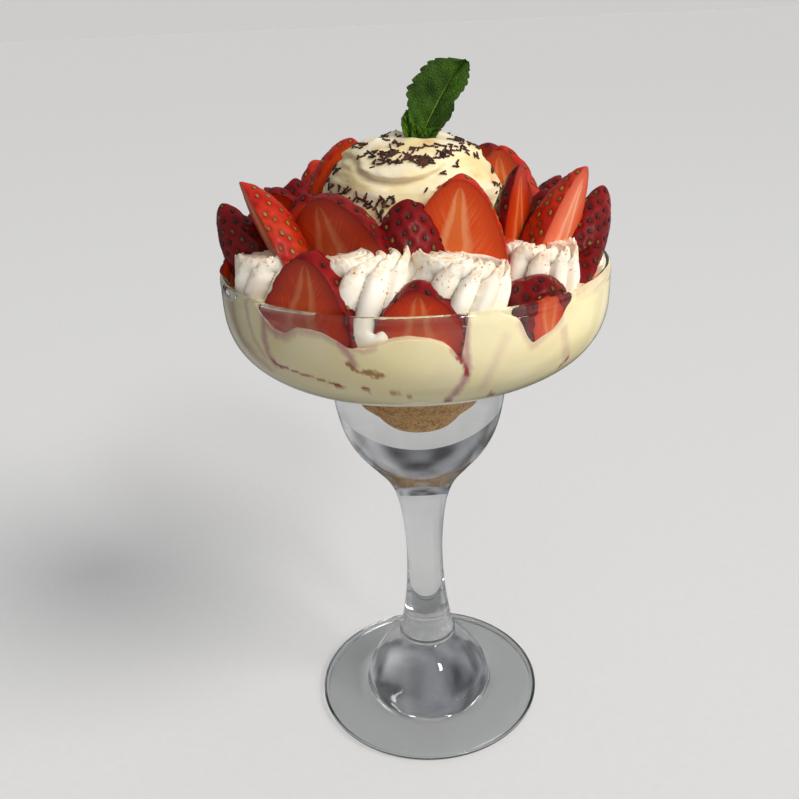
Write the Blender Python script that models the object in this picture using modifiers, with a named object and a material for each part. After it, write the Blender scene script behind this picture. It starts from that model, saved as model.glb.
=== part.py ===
"""A strawberry sundae in a stemmed coupe glass.

The glass is one turned piece. Biscuit crumb fills its small lower bowl and pale custard cream its wide
upper bowl. Berry slices stand against the glass and around a soft ice cream mound, whipped cream rosettes
are piped between them, and a mint sprig stands on top. +Z is up and the origin is the middle of the foot.
"""
import math

import bmesh
import bpy
from mathutils import Matrix, Vector

MM = 0.001

# The glass, which everything else is fitted to
RIM_HEIGHT = 160 * MM
BOWL_RADIUS = 57.4 * MM
BOWL_CENTRE = 154 * MM  # height at which the bowl is widest
BOWL_DEPTH = 29 * MM
BOWL_POWER = 2.82  # exponent of the superellipse that the bowl follows
WALL = 2.2 * MM
FLOOR = 2.9 * MM  # thickness of the bowl's floor
FOOT_RADIUS = 38.7 * MM
FOOT_THICKNESS = 2.4 * MM
PUNT = 1.4 * MM  # how far the foot's underside rises at its middle
REST_RING = 33.5 * MM  # inner radius of the ring that the foot rests on
CAVITY_FLOOR = 109.0 * MM
CAVITY_RADIUS = 11.2 * MM
CAVITY_TOP = 125.6 * MM
GLASS_SIDES = 24

# Everything in the glass keeps this gap to its neighbours
GAP = 0.3 * MM
CUTTER_SWELL = 0.36 * MM
MITRE = 2.5  # a sharp corner of a cutter moves out at most this many times as far
WELD = 0.01 * MM  # corners closer than this after a cut are made one

CREAM_TOP = 154 * MM
MOUND_TOP = 197.5 * MM
SOCKET_TOP = MOUND_TOP + 2 * MM  # the mint's corners below this shape the hole for it

COLOURS = {
    "glass": ((0.86, 0.88, 0.88), 0.03),
    "crumb": ((0.55, 0.36, 0.17), 0.95),
    "custard": ((0.80, 0.72, 0.44), 0.40),
    "whipped": ((0.87, 0.82, 0.72), 0.55),
    "ice_cream": ((0.84, 0.74, 0.48), 0.42),
    "berry": ((0.55, 0.04, 0.02), 0.28),
    "mint": ((0.05, 0.14, 0.02), 0.45),
}


def start_scene():
    """An empty scene with one collection for the sundae and one for what cuts it."""
    for old in list(bpy.data.objects):
        bpy.data.objects.remove(old)
    found = []
    for name in ("strawberry_sundae", "cutters"):
        collection = bpy.data.collections.new(name)
        bpy.context.scene.collection.children.link(collection)
        found.append(collection)
    return found


def material(name):
    """The Principled material of that name, made at its first use."""
    if name in bpy.data.materials:
        return bpy.data.materials[name]
    made = bpy.data.materials.new(name)
    made.use_nodes = True
    shader = made.node_tree.nodes["Principled BSDF"]
    colour, roughness = COLOURS[name]
    shader.inputs["Base Color"].default_value = (*colour, 1)
    shader.inputs["Roughness"].default_value = roughness
    shader.inputs["Transmission Weight"].default_value = 1.0 if name == "glass" else 0.0
    return made


def add_mesh(name, shape, finish, collection):
    """An object made from a bmesh, with its material, in a collection."""
    if shape.calc_volume(signed=True) < 0:
        bmesh.ops.reverse_faces(shape, faces=shape.faces)
    bmesh.ops.triangulate(shape, faces=[face for face in shape.faces if len(face.verts) == 4])
    mesh = bpy.data.meshes.new(name)
    shape.to_mesh(mesh)
    shape.free()
    mesh.materials.append(material(finish))
    piece = bpy.data.objects.new(name, mesh)
    collection.objects.link(piece)
    return piece


def smooth_line(points, steps):
    """Points along a smooth curve through the given ones, with so many steps between each two."""
    ends = [points[0], *points, points[-1]]
    line = []
    for before, start, end, after in zip(ends, ends[1:], ends[2:], ends[3:]):
        a, b, c, d = (Vector(p) for p in (before, start, end, after))
        for step in range(steps):
            t = step / steps
            slope = (c - a) * t + (2 * a - 5 * b + 4 * c - d) * t * t
            line.append(b + 0.5 * (slope + (3 * b - a - 3 * c + d) * t**3))
    return [(p.x, p.y) for p in line] + [tuple(points[-1])]


def bowl_arc(radius, depth, low_radius, steps):
    """The bowl's side from its widest height down to where it has narrowed to low_radius."""
    last = math.acos(min(1, (low_radius / radius) ** (BOWL_POWER / 2)))
    arc = []
    for step in range(steps + 1):
        angle = last * step / steps
        out = radius * math.cos(angle) ** (2 / BOWL_POWER)
        down = depth * math.sin(angle) ** (2 / BOWL_POWER) if angle else 0
        arc.append((out, BOWL_CENTRE - down))
    return arc


def glass_outside():
    """(radius, height) down the outside, from under the rim to the edge of the foot's underside."""
    side = bowl_arc(BOWL_RADIUS, BOWL_DEPTH, 30.5 * MM, 7)
    lower_bowl_and_stem = [
        (27.6 * MM, 121 * MM),
        (26.4 * MM, 112.5 * MM),
        (24.4 * MM, 105 * MM),
        (21.0 * MM, 98.5 * MM),
        (16.2 * MM, 92.6 * MM),
        (11.4 * MM, 86.5 * MM),
        (8.6 * MM, 80 * MM),
        (7.0 * MM, 71.5 * MM),
        (6.1 * MM, 58 * MM),
        (6.7 * MM, 43 * MM),
        (8.5 * MM, 30 * MM),
    ]
    dome = [
        (9.6 * MM, 24.5 * MM),
        (15.4 * MM, 18.4 * MM),
        (20.2 * MM, 11.2 * MM),
        (21.6 * MM, 5.6 * MM),
    ]
    foot = [
        (FOOT_RADIUS - 1.2 * MM, FOOT_THICKNESS),
        (FOOT_RADIUS, FOOT_THICKNESS * 0.62),
        (FOOT_RADIUS - 0.5 * MM, 0.5 * MM),
        (FOOT_RADIUS - 1.7 * MM, 0),
        (REST_RING, 0),
    ]
    return side + lower_bowl_and_stem + smooth_line(dome, 2) + foot


def glass_inside(inset=0.0):
    """(radius, height) up the inside, from the middle of the small cavity to the rim, moved in by inset."""
    floor = BOWL_CENTRE - BOWL_DEPTH + FLOOR
    cavity = [
        (0, CAVITY_FLOOR + inset),
        (CAVITY_RADIUS * 0.52, CAVITY_FLOOR + 1.9 * MM + inset),
        (CAVITY_RADIUS * 0.9 - inset, CAVITY_FLOOR + 8.5 * MM),
        (CAVITY_RADIUS - inset, CAVITY_TOP - 5 * MM),
        (CAVITY_RADIUS + 1.2 * MM - inset, CAVITY_TOP),
    ]
    depth = BOWL_CENTRE - floor - inset
    side = bowl_arc(BOWL_RADIUS - WALL - inset, depth, 22 * MM, 6)
    return smooth_line(cavity, 1) + side[::-1]


def turned(name, profile, finish, collection, sides=GLASS_SIDES):
    """A solid of revolution from a profile whose first and last points lie on the axis."""
    shape = bmesh.new()
    corners = [shape.verts.new((out, 0, up)) for out, up in profile]
    for low, high in zip(corners, corners[1:]):
        shape.edges.new((low, high))
    piece = add_mesh(name, shape, finish, collection)
    screw = piece.modifiers.new("Turn", "SCREW")
    screw.steps = screw.render_steps = sides
    screw.use_merge_vertices = True
    screw.merge_threshold = 0.0001 * MM
    screw.use_normal_calculate = False
    return piece


def make_glass(collection):
    """The coupe glass: inner profile up, over the rounded rim, down the outside and under the foot."""
    inner_rim = (BOWL_RADIUS - WALL, RIM_HEIGHT - 1.0 * MM)
    rim = [
        inner_rim,
        (BOWL_RADIUS - 1.6 * MM, RIM_HEIGHT),
        (BOWL_RADIUS - 0.7 * MM, RIM_HEIGHT),
        (BOWL_RADIUS - 0.1 * MM, RIM_HEIGHT - 1.0 * MM),
    ]
    underside = [(REST_RING * 0.6, PUNT * 0.7), (0, PUNT)]
    profile = glass_inside() + rim + glass_outside() + underside
    return turned("glass", profile, "glass", collection)


def make_crumb(collection):
    """Biscuit crumb, which fills the small lower bowl up to the floor of the wide one."""
    top = BOWL_CENTRE - BOWL_DEPTH + FLOOR - GAP
    side = [point for point in glass_inside(GAP) if point[1] < CAVITY_TOP + 0.1 * MM]
    profile = [*side, (side[-1][0] + 1.0 * MM, top), (0, top + 0.8 * MM)]
    return turned("crumb_base", profile[::-1], "crumb", collection)


def make_cream(collection):
    """Custard cream in the wide bowl, level at its top before the berries are cut from it."""
    floor = BOWL_CENTRE - BOWL_DEPTH + FLOOR + GAP
    side = [point for point in glass_inside(GAP) if point[0] > 20 * MM and point[1] < CREAM_TOP]
    profile = [(0, floor + 1.2 * MM), (16 * MM, floor + 0.4 * MM), *side]
    profile += [(BOWL_RADIUS - WALL - GAP, CREAM_TOP), (0, CREAM_TOP)]
    return turned("custard_cream", profile[::-1], "custard", collection)


SHOULDER = 0.34  # how blunt a berry's shoulders are, from 0 for flat
TAPER = 0.62  # how pointed its tip is, from 0 for flat
BERRY_SIDES = 10
BERRY_RINGS = 6


def berry_radius(along, width):
    """Half width of a berry at a share of its length, from its shoulders at 0 to its tip at 1."""
    if along <= 0 or along >= 1:
        return 0
    widest = SHOULDER / (SHOULDER + TAPER)
    return width / 2 * (along / widest) ** SHOULDER * ((1 - along) / (1 - widest)) ** TAPER


def berry(length, width):
    """A whole berry as a bmesh: shoulders at the origin, tip up +Z, and a faint unevenness round it."""
    shape = bmesh.new()
    bmesh.ops.create_uvsphere(shape, u_segments=BERRY_SIDES, v_segments=BERRY_RINGS, radius=1)
    for corner in shape.verts:
        turn = math.atan2(corner.co.y, corner.co.x)
        height = round(corner.co.z, 4)
        along = 0.5 + 0.5 * height
        radius = berry_radius(along, width) * (1 + 0.03 * math.cos(3 * turn + 1))
        corner.co = (radius * math.cos(turn), radius * math.sin(turn), along * length)
    return shape


def cut_away(shape, angle, offset):
    """Cuts off what lies past a plane parallel to the berry's axis, and closes the cut."""
    normal = Vector((math.sin(math.radians(angle)), -math.cos(math.radians(angle)), 0))
    everything = [*shape.verts, *shape.edges, *shape.faces]
    found = bmesh.ops.bisect_plane(
        shape, geom=everything, plane_co=normal * offset, plane_no=normal, clear_outer=True, dist=WELD / 100
    )
    edges = [item for item in found["geom_cut"] if isinstance(item, bmesh.types.BMEdge)]
    bmesh.ops.holes_fill(shape, edges=edges)


def slab(middle, thickness):
    """The two cuts that leave a flat slice: its faces look along -Y and +Y of the berry."""
    return [(0, (thickness / 2 + middle) * MM), (180, (thickness / 2 - middle) * MM)]


def cap(offset):
    """The one cut that leaves a berry's outer piece, with its skin towards -Y of the berry."""
    return [(180, -offset * MM)]


# Each berry piece: bearing round the glass from the front in degrees, distance of its lower end from the
# axis and height of that end in mm, lean outwards and sideways in degrees, turn about its own length in
# degrees, length and width of its berry in mm, and its cuts. A piece gives way to those before it.
BERRIES = {
    # slices that stand against the glass
    "slice_rim_left": (-35, 48.6, 140.4, 3, 7, -2, 35, 31, slab(1.0, 5.0)),
    "slice_rim_front": (1, 45.6, 135.3, 8, 0, -6, 36, 27, slab(1.0, 5.0)),
    "slice_rim_right": (38, 49.4, 162.6, 8, 184, 184, 17.5, 19, cap(-2.6)),
    "slice_rim_far_right": (57, 48.8, 145.9, 5, 40, 172, 25, 15, cap(0)),
    "slice_rim_far_left": (-65, 50.5, 144.1, 5, -24, -66, 25, 15, cap(0)),
    "slice_rim_back_right": (99, 48.4, 138.4, 5, 4, 0, 36, 29, slab(1.0, 5.0)),
    "slice_rim_back_corner": (131, 48.6, 141, 4, 5, -8, 31, 25, slab(1.0, 4.5)),
    "slice_rim_back_middle": (166, 48.0, 138, 5, -4, 4, 37, 30, slab(1.0, 5.0)),
    "slice_rim_back_left": (-116, 48.4, 139, 4, 3, 0, 36, 30, slab(1.0, 5.0)),
    "slice_rim_back_edge": (-156, 48.6, 141, 4, 3, 5, 32, 26, slab(1.0, 4.5)),
    # slices and halves that stand round the mound, from the front to both sides and then the back
    "slice_front": (14.5, 35.6, 146.6, -5, 7, -24, 43, 28.5, slab(0.5, 5.0)),
    "slice_left": (-26, 34.8, 150.2, -1, -15, -10, 36, 36, slab(0.5, 5.0)),
    "half_right": (50, 42.5, 149.6, 6, 25, -166, 42, 23, cap(0)),
    "half_left": (-54, 39.1, 153.5, 16, -18, 167, 37, 25, cap(0)),
    "half_middle_right": (46, 36.4, 152.0, -1, 4, -155, 39, 18, cap(0)),
    "half_dark_middle": (-9, 28.6, 155.2, -5, 4, 4, 28, 22, cap(3.0)),
    "half_far_left": (-69, 39.4, 153.3, 21, -21, 35, 33, 20, cap(0)),
    "half_dark_right": (72, 46.4, 153.7, 8, 27, -52, 32, 17, cap(0)),
    "half_behind_right": (72, 38.0, 154.0, 1, 3, -60, 27, 19, cap(0)),
    "slice_small_left": (-50, 33.4, 156.0, 6, 1, 66, 28, 19, slab(0.5, 4.0)),
    "slice_behind_left": (-66, 33.0, 154.6, 12, -12, 40, 31, 25, slab(0.5, 4.5)),
    "half_dark_left": (-84, 30.8, 158.1, 4, 12, 60, 29, 20, cap(0)),
    "slice_back_left": (-121, 30.6, 156.7, -12, -6, -35, 38, 24, slab(0.5, 5.0)),
    "slice_back_right": (99, 29.8, 153.9, -4, 5, 50, 37, 24, slab(0.5, 5.0)),
    "half_back_right": (106, 42.6, 153.7, 12, 6, 176, 27, 22, cap(0)),
    "slice_back_corner": (134, 31.0, 156.0, 0, -4, -10, 34, 30, slab(0.5, 5.0)),
    "half_back_corner": (141, 42.6, 153.8, 17, 6, 160, 32, 22, cap(0)),
    "slice_back": (167, 31.0, 155.5, 1, 5, 8, 36, 31, slab(0.5, 5.0)),
    "half_back": (178, 42.2, 153.8, 18, -6, -168, 33, 23, cap(0)),
    "slice_back_edge": (-159, 31.0, 156.0, 0, -5, -8, 34, 29, slab(0.5, 5.0)),
    "half_back_edge": (-146, 42.0, 153.8, 17, 8, 170, 32, 23, cap(0)),
    "half_back_left": (-108, 41.4, 153.8, 14, -2, 200, 27, 22, cap(0)),
}


def standing(bearing, distance, height, lean=0, sideways=0, turn=0):
    """Where a piece of food stands: its own Z runs up its length and its own -Y looks out of the glass."""
    angle = math.radians(bearing)
    place = Matrix.Translation(Vector((math.sin(angle) * distance, -math.cos(angle) * distance, height)) * MM)
    facing = Matrix.Rotation(angle, 4, "Z")
    outwards = Matrix.Rotation(math.radians(lean), 4, "X")
    aside = Matrix.Rotation(math.radians(sideways), 4, "Y")
    spin = Matrix.Rotation(math.radians(turn), 4, "Z")
    return place @ facing @ aside @ outwards @ spin


def make_berry(name, collection):
    """One berry piece, cut from a whole berry and stood in its place."""
    *stand, length, width, cuts = BERRIES[name]
    shape = berry(length * MM, width * MM)
    for angle, offset in cuts:
        cut_away(shape, angle, offset)
    bmesh.ops.transform(shape, matrix=standing(*stand), verts=shape.verts)
    return add_mesh(name, shape, "berry", collection)


# Each rosette: bearing in degrees, distance from the axis, radius and height in mm, and twist in degrees
ROSETTES = {
    "rosette_left": (-58, 41.0, 12.6, 15.5, 70),
    "rosette_middle_left": (-17, 40.6, 13.0, 18.5, 70),
    "rosette_middle_right": (16, 40.8, 12.8, 17.0, -60),
    "rosette_right": (46, 41.0, 12.8, 16.5, -50),
    "rosette_far_right": (78, 41.0, 12.4, 18.0, 60),
    "rosette_back_right": (111, 41.0, 12.8, 17.0, 70),
    "rosette_back_middle": (146, 41.0, 13.0, 18.0, 70),
    "rosette_back": (180, 41.0, 12.6, 16.5, 75),
    "rosette_back_left": (-145, 41.0, 13.0, 18.0, 65),
    "rosette_far_left": (-100, 41.0, 12.8, 17.0, 70),
}
RIDGES = 6
GROOVE = 0.22  # depth of the grooves between the ridges, as a share of the rosette's radius
SWIRL = ((0.92, 0.0), (1.0, 0.25), (0.78, 0.68), (0.18, 1.0))  # shares of its radius and height


def stacked(levels, sides, out_at):
    """A closed solid built up level by level from rings of (radius, height, turn)."""
    shape = bmesh.new()
    bmesh.ops.create_circle(shape, radius=1, segments=sides)
    ring = shape.edges[:]
    for _ in levels[1:]:
        made = bmesh.ops.extrude_edge_only(shape, edges=ring)["geom"]
        ring = [item for item in made if isinstance(item, bmesh.types.BMEdge)]
        raised = [item for item in made if isinstance(item, bmesh.types.BMVert)]
        bmesh.ops.translate(shape, vec=(0, 0, 1), verts=raised)
    bmesh.ops.holes_fill(shape, edges=shape.edges)
    for corner in shape.verts:
        radius, height, turn = levels[round(corner.co.z)]
        place = round(math.atan2(corner.co.y, corner.co.x) * sides / (2 * math.pi)) % sides
        angle = 2 * math.pi * place / sides
        out = radius * out_at(place, angle)
        corner.co = (out * math.cos(angle + turn), out * math.sin(angle + turn), height)
    bmesh.ops.recalc_face_normals(shape, faces=shape.faces)
    return shape


def make_rosette(name, collection):
    """A piped swirl of whipped cream: a star that is raised, turned and narrowed level by level."""
    bearing, distance, radius, height, twist = ROSETTES[name]
    levels = [(share * radius * MM, up * height * MM, math.radians(twist) * up) for share, up in SWIRL]
    shape = stacked(levels, 2 * RIDGES, lambda place, angle: 1 if place % 2 else 1 - GROOVE)
    bmesh.ops.transform(shape, matrix=standing(bearing, distance, (CREAM_TOP + GAP) / MM), verts=shape.verts)
    return add_mesh(name, shape, "whipped", collection)


MOUND_SIDES = 16
# Radius and height in mm of the mound's soft tiers, from its base to just under its top
MOUND_LEVELS = (
    (28.0, 154.3),
    (28.6, 164.0),
    (27.0, 174.5),
    (24.0, 183.5),
    (19.8, 187.2),
    (19.6, 189.8),
    (15.6, 194.6),
    (7.0, 197.3),
)


def make_mound(collection):
    """The scoop of ice cream in the middle, with a second scoop's soft edge high on its front."""
    levels = [(radius * MM, height * MM, 0.0) for radius, height in MOUND_LEVELS]

    def lopsided(_, angle):
        return 1 + 0.025 * math.sin(2 * angle) + 0.02 * math.cos(3 * angle)

    return add_mesh("ice_cream_mound", stacked(levels, MOUND_SIDES, lopsided), "ice_cream", collection)


# The mint's big leaf, level by level up its length: place sideways and height of its midrib, and how far
# it reaches to the left and right of that, in mm
LEAF = (
    (3.6, 193.0, 0.9, 0.9),
    (4.4, 197.0, 3.4, 4.2),
    (5.9, 201.0, 6.2, 5.8),
    (7.8, 206.0, 7.8, 6.8),
    (9.8, 210.3, 8.2, 6.8),
    (12.2, 213.8, 6.4, 4.9),
    (15.8, 215.6, 1.6, 1.0),
)
LEAF_THICKNESS = 0.8 * MM
LEAF_FOLD = 1.0  # mm that the two halves come forward of the midrib
STEM_FOOT = Vector((2.4, -0.6, 193)) * MM


def leaf(rows, back, forward=0.0):
    """A standing leaf as a closed solid, folded at its midrib, whose tip leans back; all in mm."""
    shape = bmesh.new()
    bmesh.ops.create_grid(shape, x_segments=2, y_segments=len(rows) - 1, size=1)
    for corner in shape.verts:
        row = round((corner.co.y + 1) / 2 * (len(rows) - 1))
        middle, height, left, right = rows[row]
        side = round(corner.co.x)
        bend = back * (row / (len(rows) - 1)) ** 2 - forward
        across = middle + (right if side > 0 else left) * side
        tooth = 0.3 * abs(side) * (-1) ** row
        corner.co = Vector((across, bend - LEAF_FOLD * abs(side), height + tooth)) * MM
    shape.normal_update()
    bmesh.ops.solidify(shape, geom=shape.faces[:], thickness=LEAF_THICKNESS)
    return shape


def make_mint(collection):
    """The mint sprig: a big leaf, a small curled one on its left and the cut end of their stem."""
    small_rows = [(1.7 - 0.16 * (z - 193), 194 + 0.34 * (z - 193), 0.26 * a, 0.26 * b) for _, z, a, b in LEAF]
    big = add_mesh("mint_sprig", leaf(LEAF, back=3.0), "mint", collection)
    small = add_mesh("small_leaf", leaf(small_rows, back=-0.8, forward=0.4), "mint", collection)
    stem = bmesh.new()
    leaning = Matrix.Translation(STEM_FOOT) @ Matrix.Rotation(0.2, 4, "Y")
    bmesh.ops.create_cone(
        stem, cap_ends=True, segments=8, radius1=1.0 * MM, radius2=1.3 * MM, depth=9 * MM, matrix=leaning
    )
    stem = add_mesh("stem", stem, "mint", collection)
    combine(big, [small, stem], "UNION")
    bpy.data.objects.remove(small)
    bpy.data.objects.remove(stem)
    return big


def mint_socket(mint, collection):
    """The hole for the sprig's lower end: a hull round what stands in the mound, with the gap added."""
    shape = bmesh.new()
    for corner in mint.data.vertices:
        if corner.co.z < SOCKET_TOP:
            shape.verts.new(corner.co)
    hull = bmesh.ops.convex_hull(shape, input=shape.verts)
    loose = [item for item in hull["geom_interior"] if isinstance(item, bmesh.types.BMVert)]
    bmesh.ops.delete(shape, geom=loose, context="VERTS")
    socket = add_mesh("mint_socket", shape, "mint", collection)
    cutter = swelled(socket, collection)
    bpy.data.objects.remove(socket)
    return cutter


def combine(piece, others, operation):
    """Applies one Boolean of other objects to a piece and keeps its largest closed part."""
    group = bpy.data.collections.new(operation)
    for other in others:
        group.objects.link(other)
    step = piece.modifiers.new(operation, "BOOLEAN")
    step.operation = operation
    step.solver = "EXACT"
    step.operand_type = "COLLECTION"
    step.collection = group
    shape = evaluated(piece)
    piece.modifiers.clear()
    bpy.data.collections.remove(group)
    bmesh.ops.remove_doubles(shape, verts=shape.verts, dist=WELD)
    keep_largest(shape)
    shape.to_mesh(piece.data)
    shape.free()


def settle(piece):
    """Applies a piece's modifiers to its mesh."""
    shape = evaluated(piece)
    piece.modifiers.clear()
    shape.to_mesh(piece.data)
    shape.free()


def evaluated(piece):
    """A piece with its modifiers applied, as a bmesh."""
    bpy.context.view_layer.update()
    done = bpy.data.meshes.new_from_object(piece.evaluated_get(bpy.context.evaluated_depsgraph_get()))
    shape = bmesh.new()
    shape.from_mesh(done)
    bpy.data.meshes.remove(done)
    return shape


def keep_largest(shape):
    """Removes all loose parts of a bmesh but the one with the largest box."""

    def box_size(part):
        spans = [[corner.co[i] for corner in part] for i in range(3)]
        return sum(max(span) - min(span) for span in spans)

    left = set(shape.verts)
    parts = []
    while left:
        found = {left.pop()}
        front = list(found)
        while front:
            near = {edge.other_vert(corner) for corner in front for edge in corner.link_edges} - found
            found |= near
            front = list(near)
        left -= found
        parts.append(found)
    parts.sort(key=box_size)
    small = [corner for part in parts[:-1] for corner in part]
    bmesh.ops.delete(shape, geom=small, context="VERTS")


def swelled(piece, collection):
    """A copy of a piece whose faces are all moved outwards, as a cutter that leaves a gap."""
    shape = bmesh.new()
    shape.from_mesh(piece.data)
    shape.normal_update()
    moves = [corner.normal * CUTTER_SWELL * min(corner.calc_shell_factor(), MITRE) for corner in shape.verts]
    for corner, move in zip(shape.verts, moves):
        corner.co += move
    mesh = bpy.data.meshes.new(piece.name + "_cutter")
    shape.to_mesh(mesh)
    shape.free()
    cutter = bpy.data.objects.new(piece.name + "_cutter", mesh)
    cutter.hide_render = True
    cutter.display_type = "WIRE"
    collection.objects.link(cutter)
    return cutter


def box_of(piece):
    """Lowest and highest corner of an object that is neither moved nor turned."""
    places = [corner.co for corner in piece.data.vertices]
    return [Vector([pick(place[i] for place in places) for i in range(3)]) for pick in (min, max)]


def meet(one, other):
    """Whether the boxes of two objects overlap."""
    (low, high), (other_low, other_high) = box_of(one), box_of(other)
    return all(low[i] < other_high[i] and other_low[i] < high[i] for i in range(3))


def carve(piece, cutters):
    """Cuts from a piece every cutter whose box meets its box."""
    near = [cutter for cutter in cutters if meet(piece, cutter)]
    if near:
        combine(piece, near, "DIFFERENCE")


def inside_of_glass(collection):
    """The room for what is in the glass: the bowl's inside, and above the rim a cylinder as wide as it."""
    top = 1.4 * RIM_HEIGHT
    profile = [
        *glass_inside(GAP),
        (BOWL_RADIUS - WALL - GAP, RIM_HEIGHT + GAP),
        (BOWL_RADIUS - 0.1 * MM, RIM_HEIGHT + GAP),
        (BOWL_RADIUS - 0.1 * MM, top),
        (0, top),
    ]
    room = turned("inside_of_glass", profile[::-1], "glass", collection)
    room.hide_render = True
    room.display_type = "WIRE"
    return room


def fit_inside(piece, room):
    """Cuts a piece to the room inside the glass, if it comes near the wall."""
    if max(corner.co.xy.length for corner in piece.data.vertices) > 0.8 * BOWL_RADIUS:
        combine(piece, [room], "INTERSECT")


def main():
    """Berries give way to those before them, the mound to the berries, and cream to all that stands in it."""
    sundae, cutters = start_scene()
    make_glass(sundae)
    make_crumb(sundae)
    cream = make_cream(sundae)
    room = inside_of_glass(cutters)
    mint = make_mint(sundae)
    socket = mint_socket(mint, cutters)

    berry_cutters = []
    for name in BERRIES:
        piece = make_berry(name, sundae)
        cutter = swelled(piece, cutters)
        fit_inside(piece, room)
        carve(piece, berry_cutters)
        berry_cutters.append(cutter)

    mound = make_mound(sundae)
    soft_cutters = [swelled(mound, cutters)]
    carve(mound, [*berry_cutters, socket])
    for name in ROSETTES:
        rosette = make_rosette(name, sundae)
        cutter = swelled(rosette, cutters)
        fit_inside(rosette, room)
        carve(rosette, [*berry_cutters, *soft_cutters])
        soft_cutters.append(cutter)
    settle(cream)
    carve(cream, berry_cutters)


main()
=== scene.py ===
"""A strawberry sundae in a stemmed coupe glass: blown and pressed glass, biscuit crumb, custard cream, whipped
cream rosettes, cut strawberries, a scoop of soft ice cream with chocolate sprinkles, and a mint sprig.

Bearings are degrees round the upright axis, 0 at the front and growing to the right; heights are millimetres.
"""
import math
import random

import bpy
from mathutils import Matrix, Vector, noise
from mathutils.kdtree import KDTree


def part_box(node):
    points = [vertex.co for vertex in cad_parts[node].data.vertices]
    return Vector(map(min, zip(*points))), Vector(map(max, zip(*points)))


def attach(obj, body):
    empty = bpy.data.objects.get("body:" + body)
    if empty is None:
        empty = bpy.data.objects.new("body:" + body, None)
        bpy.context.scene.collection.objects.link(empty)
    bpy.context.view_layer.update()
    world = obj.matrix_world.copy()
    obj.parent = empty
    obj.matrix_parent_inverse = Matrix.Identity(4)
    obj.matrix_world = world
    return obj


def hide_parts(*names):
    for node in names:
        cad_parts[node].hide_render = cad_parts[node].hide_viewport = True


MM = 0.001
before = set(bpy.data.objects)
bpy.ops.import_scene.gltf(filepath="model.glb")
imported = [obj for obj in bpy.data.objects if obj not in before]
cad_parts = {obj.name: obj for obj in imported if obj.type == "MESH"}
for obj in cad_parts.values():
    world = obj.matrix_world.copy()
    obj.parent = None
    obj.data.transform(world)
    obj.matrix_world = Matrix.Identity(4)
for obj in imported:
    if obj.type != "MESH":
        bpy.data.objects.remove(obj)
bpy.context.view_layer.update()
chance = random.Random(7)

# The glass, from its own box and the thicknesses of its wall and floor
RIM_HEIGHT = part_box("glass")[1].z / MM
BOWL_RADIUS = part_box("glass")[1].x / MM
FOOT_RADIUS = 38.7
BOWL_CENTRE = RIM_HEIGHT - 6.0
BOWL_DEPTH = 29.0
BOWL_POWER = 2.82
WALL = 2.2
FLOOR = 2.9
CAVITY_RADIUS = 11.2
CAVITY_FLOOR = 109.0
CAVITY_TOP = 125.6
INTO_WALL = 0.20  # how far the cream reaches into the wall, so that no air shows between them
FRUIT_INTO_WALL = 0.12  # and the berries and whipped cream, a little less, so that the cream covers them
CREAM_TOP = 154.0


# ---------------------------------------------------------------- shapes

def smooth_line(points, steps):
    """Points along a smooth curve through the given ones, with so many steps between each two."""
    ends = [points[0], *points, points[-1]]
    line = []
    for before, start, end, after in zip(ends, ends[1:], ends[2:], ends[3:]):
        a, b, c, d = (Vector(p) for p in (before, start, end, after))
        for step in range(steps):
            t = step / steps
            slope = (c - a) * t + (2 * a - 5 * b + 4 * c - d) * t * t
            line.append(tuple(b + 0.5 * (slope + (3 * b - a - 3 * c + d) * t**3)))
    return [*line, tuple(points[-1])]


def smooth_step(low, high, value):
    """0 below low, 1 above high and a soft rise between them."""
    share = min(1, max(0, (value - low) / (high - low)))
    return share * share * (3 - 2 * share)


def around(table, bearing, blur=0.0):
    """The value at a bearing, read from a table of (bearing, value) that goes once round; blur rounds its corners."""
    if blur:
        return sum(around(table, bearing + turn * blur) for turn in (-1, -0.5, 0, 0.5, 1)) / 5
    bearing = (bearing - table[0][0]) % 360 + table[0][0]
    places = [*table, (table[0][0] + 360, table[0][1])]
    for (start, low), (end, high) in zip(places, places[1:]):
        if bearing <= end:
            return low + (high - low) * (bearing - start) / (end - start)
    return table[0][1]


def bearing_of(place):
    """The bearing of a place, in degrees."""
    return math.degrees(math.atan2(place.x, -place.y))


def bowl_arc(radius, depth, low_radius, steps):
    """The bowl's side from its widest height down to where it has narrowed to low_radius."""
    last = math.acos(min(1, (low_radius / radius) ** (BOWL_POWER / 2)))
    arc = []
    for step in range(steps + 1):
        angle = last * step / steps
        out = radius * math.cos(angle) ** (2 / BOWL_POWER)
        down = depth * math.sin(angle) ** (2 / BOWL_POWER) if angle else 0
        arc.append((out, BOWL_CENTRE - down))
    return arc


def inner_radius(height):
    """Radius of the bowl's inside at a height."""
    if height >= BOWL_CENTRE:
        return BOWL_RADIUS - WALL
    down = min(1, (BOWL_CENTRE - height) / (BOWL_DEPTH - FLOOR))
    return (BOWL_RADIUS - WALL) * (1 - down**BOWL_POWER) ** (1 / BOWL_POWER)


def against_glass(place, pressed=0):
    """A place in metres, pushed in where it would pass through the glass or hang far over its rim, and back
    where cream covers it. Pressed food also lies flat on the wall, up to a height where that has faded out."""
    height, reach = place.z / MM, place.xy.length / MM
    limit = inner_radius(height) + FRUIT_INTO_WALL
    if reach > limit - 6:
        limit -= 1.6 * smooth_step(0.4, 2.2, around(CREAM_EDGE, bearing_of(place), 0.5) - height)
    limit += max(0, height - RIM_HEIGHT - 0.5) * 1.1
    gap = limit - reach
    if pressed and 0 < gap < 5:
        flat = smooth_step(0, 5, gap)
        gap *= flat + (1 - flat) * smooth_step(pressed - 5, pressed, height)
    reach_now = limit - max(0, gap)
    if reach_now == reach or reach == 0:
        return place
    return Vector((place.x * reach_now / reach, place.y * reach_now / reach, place.z))


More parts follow.
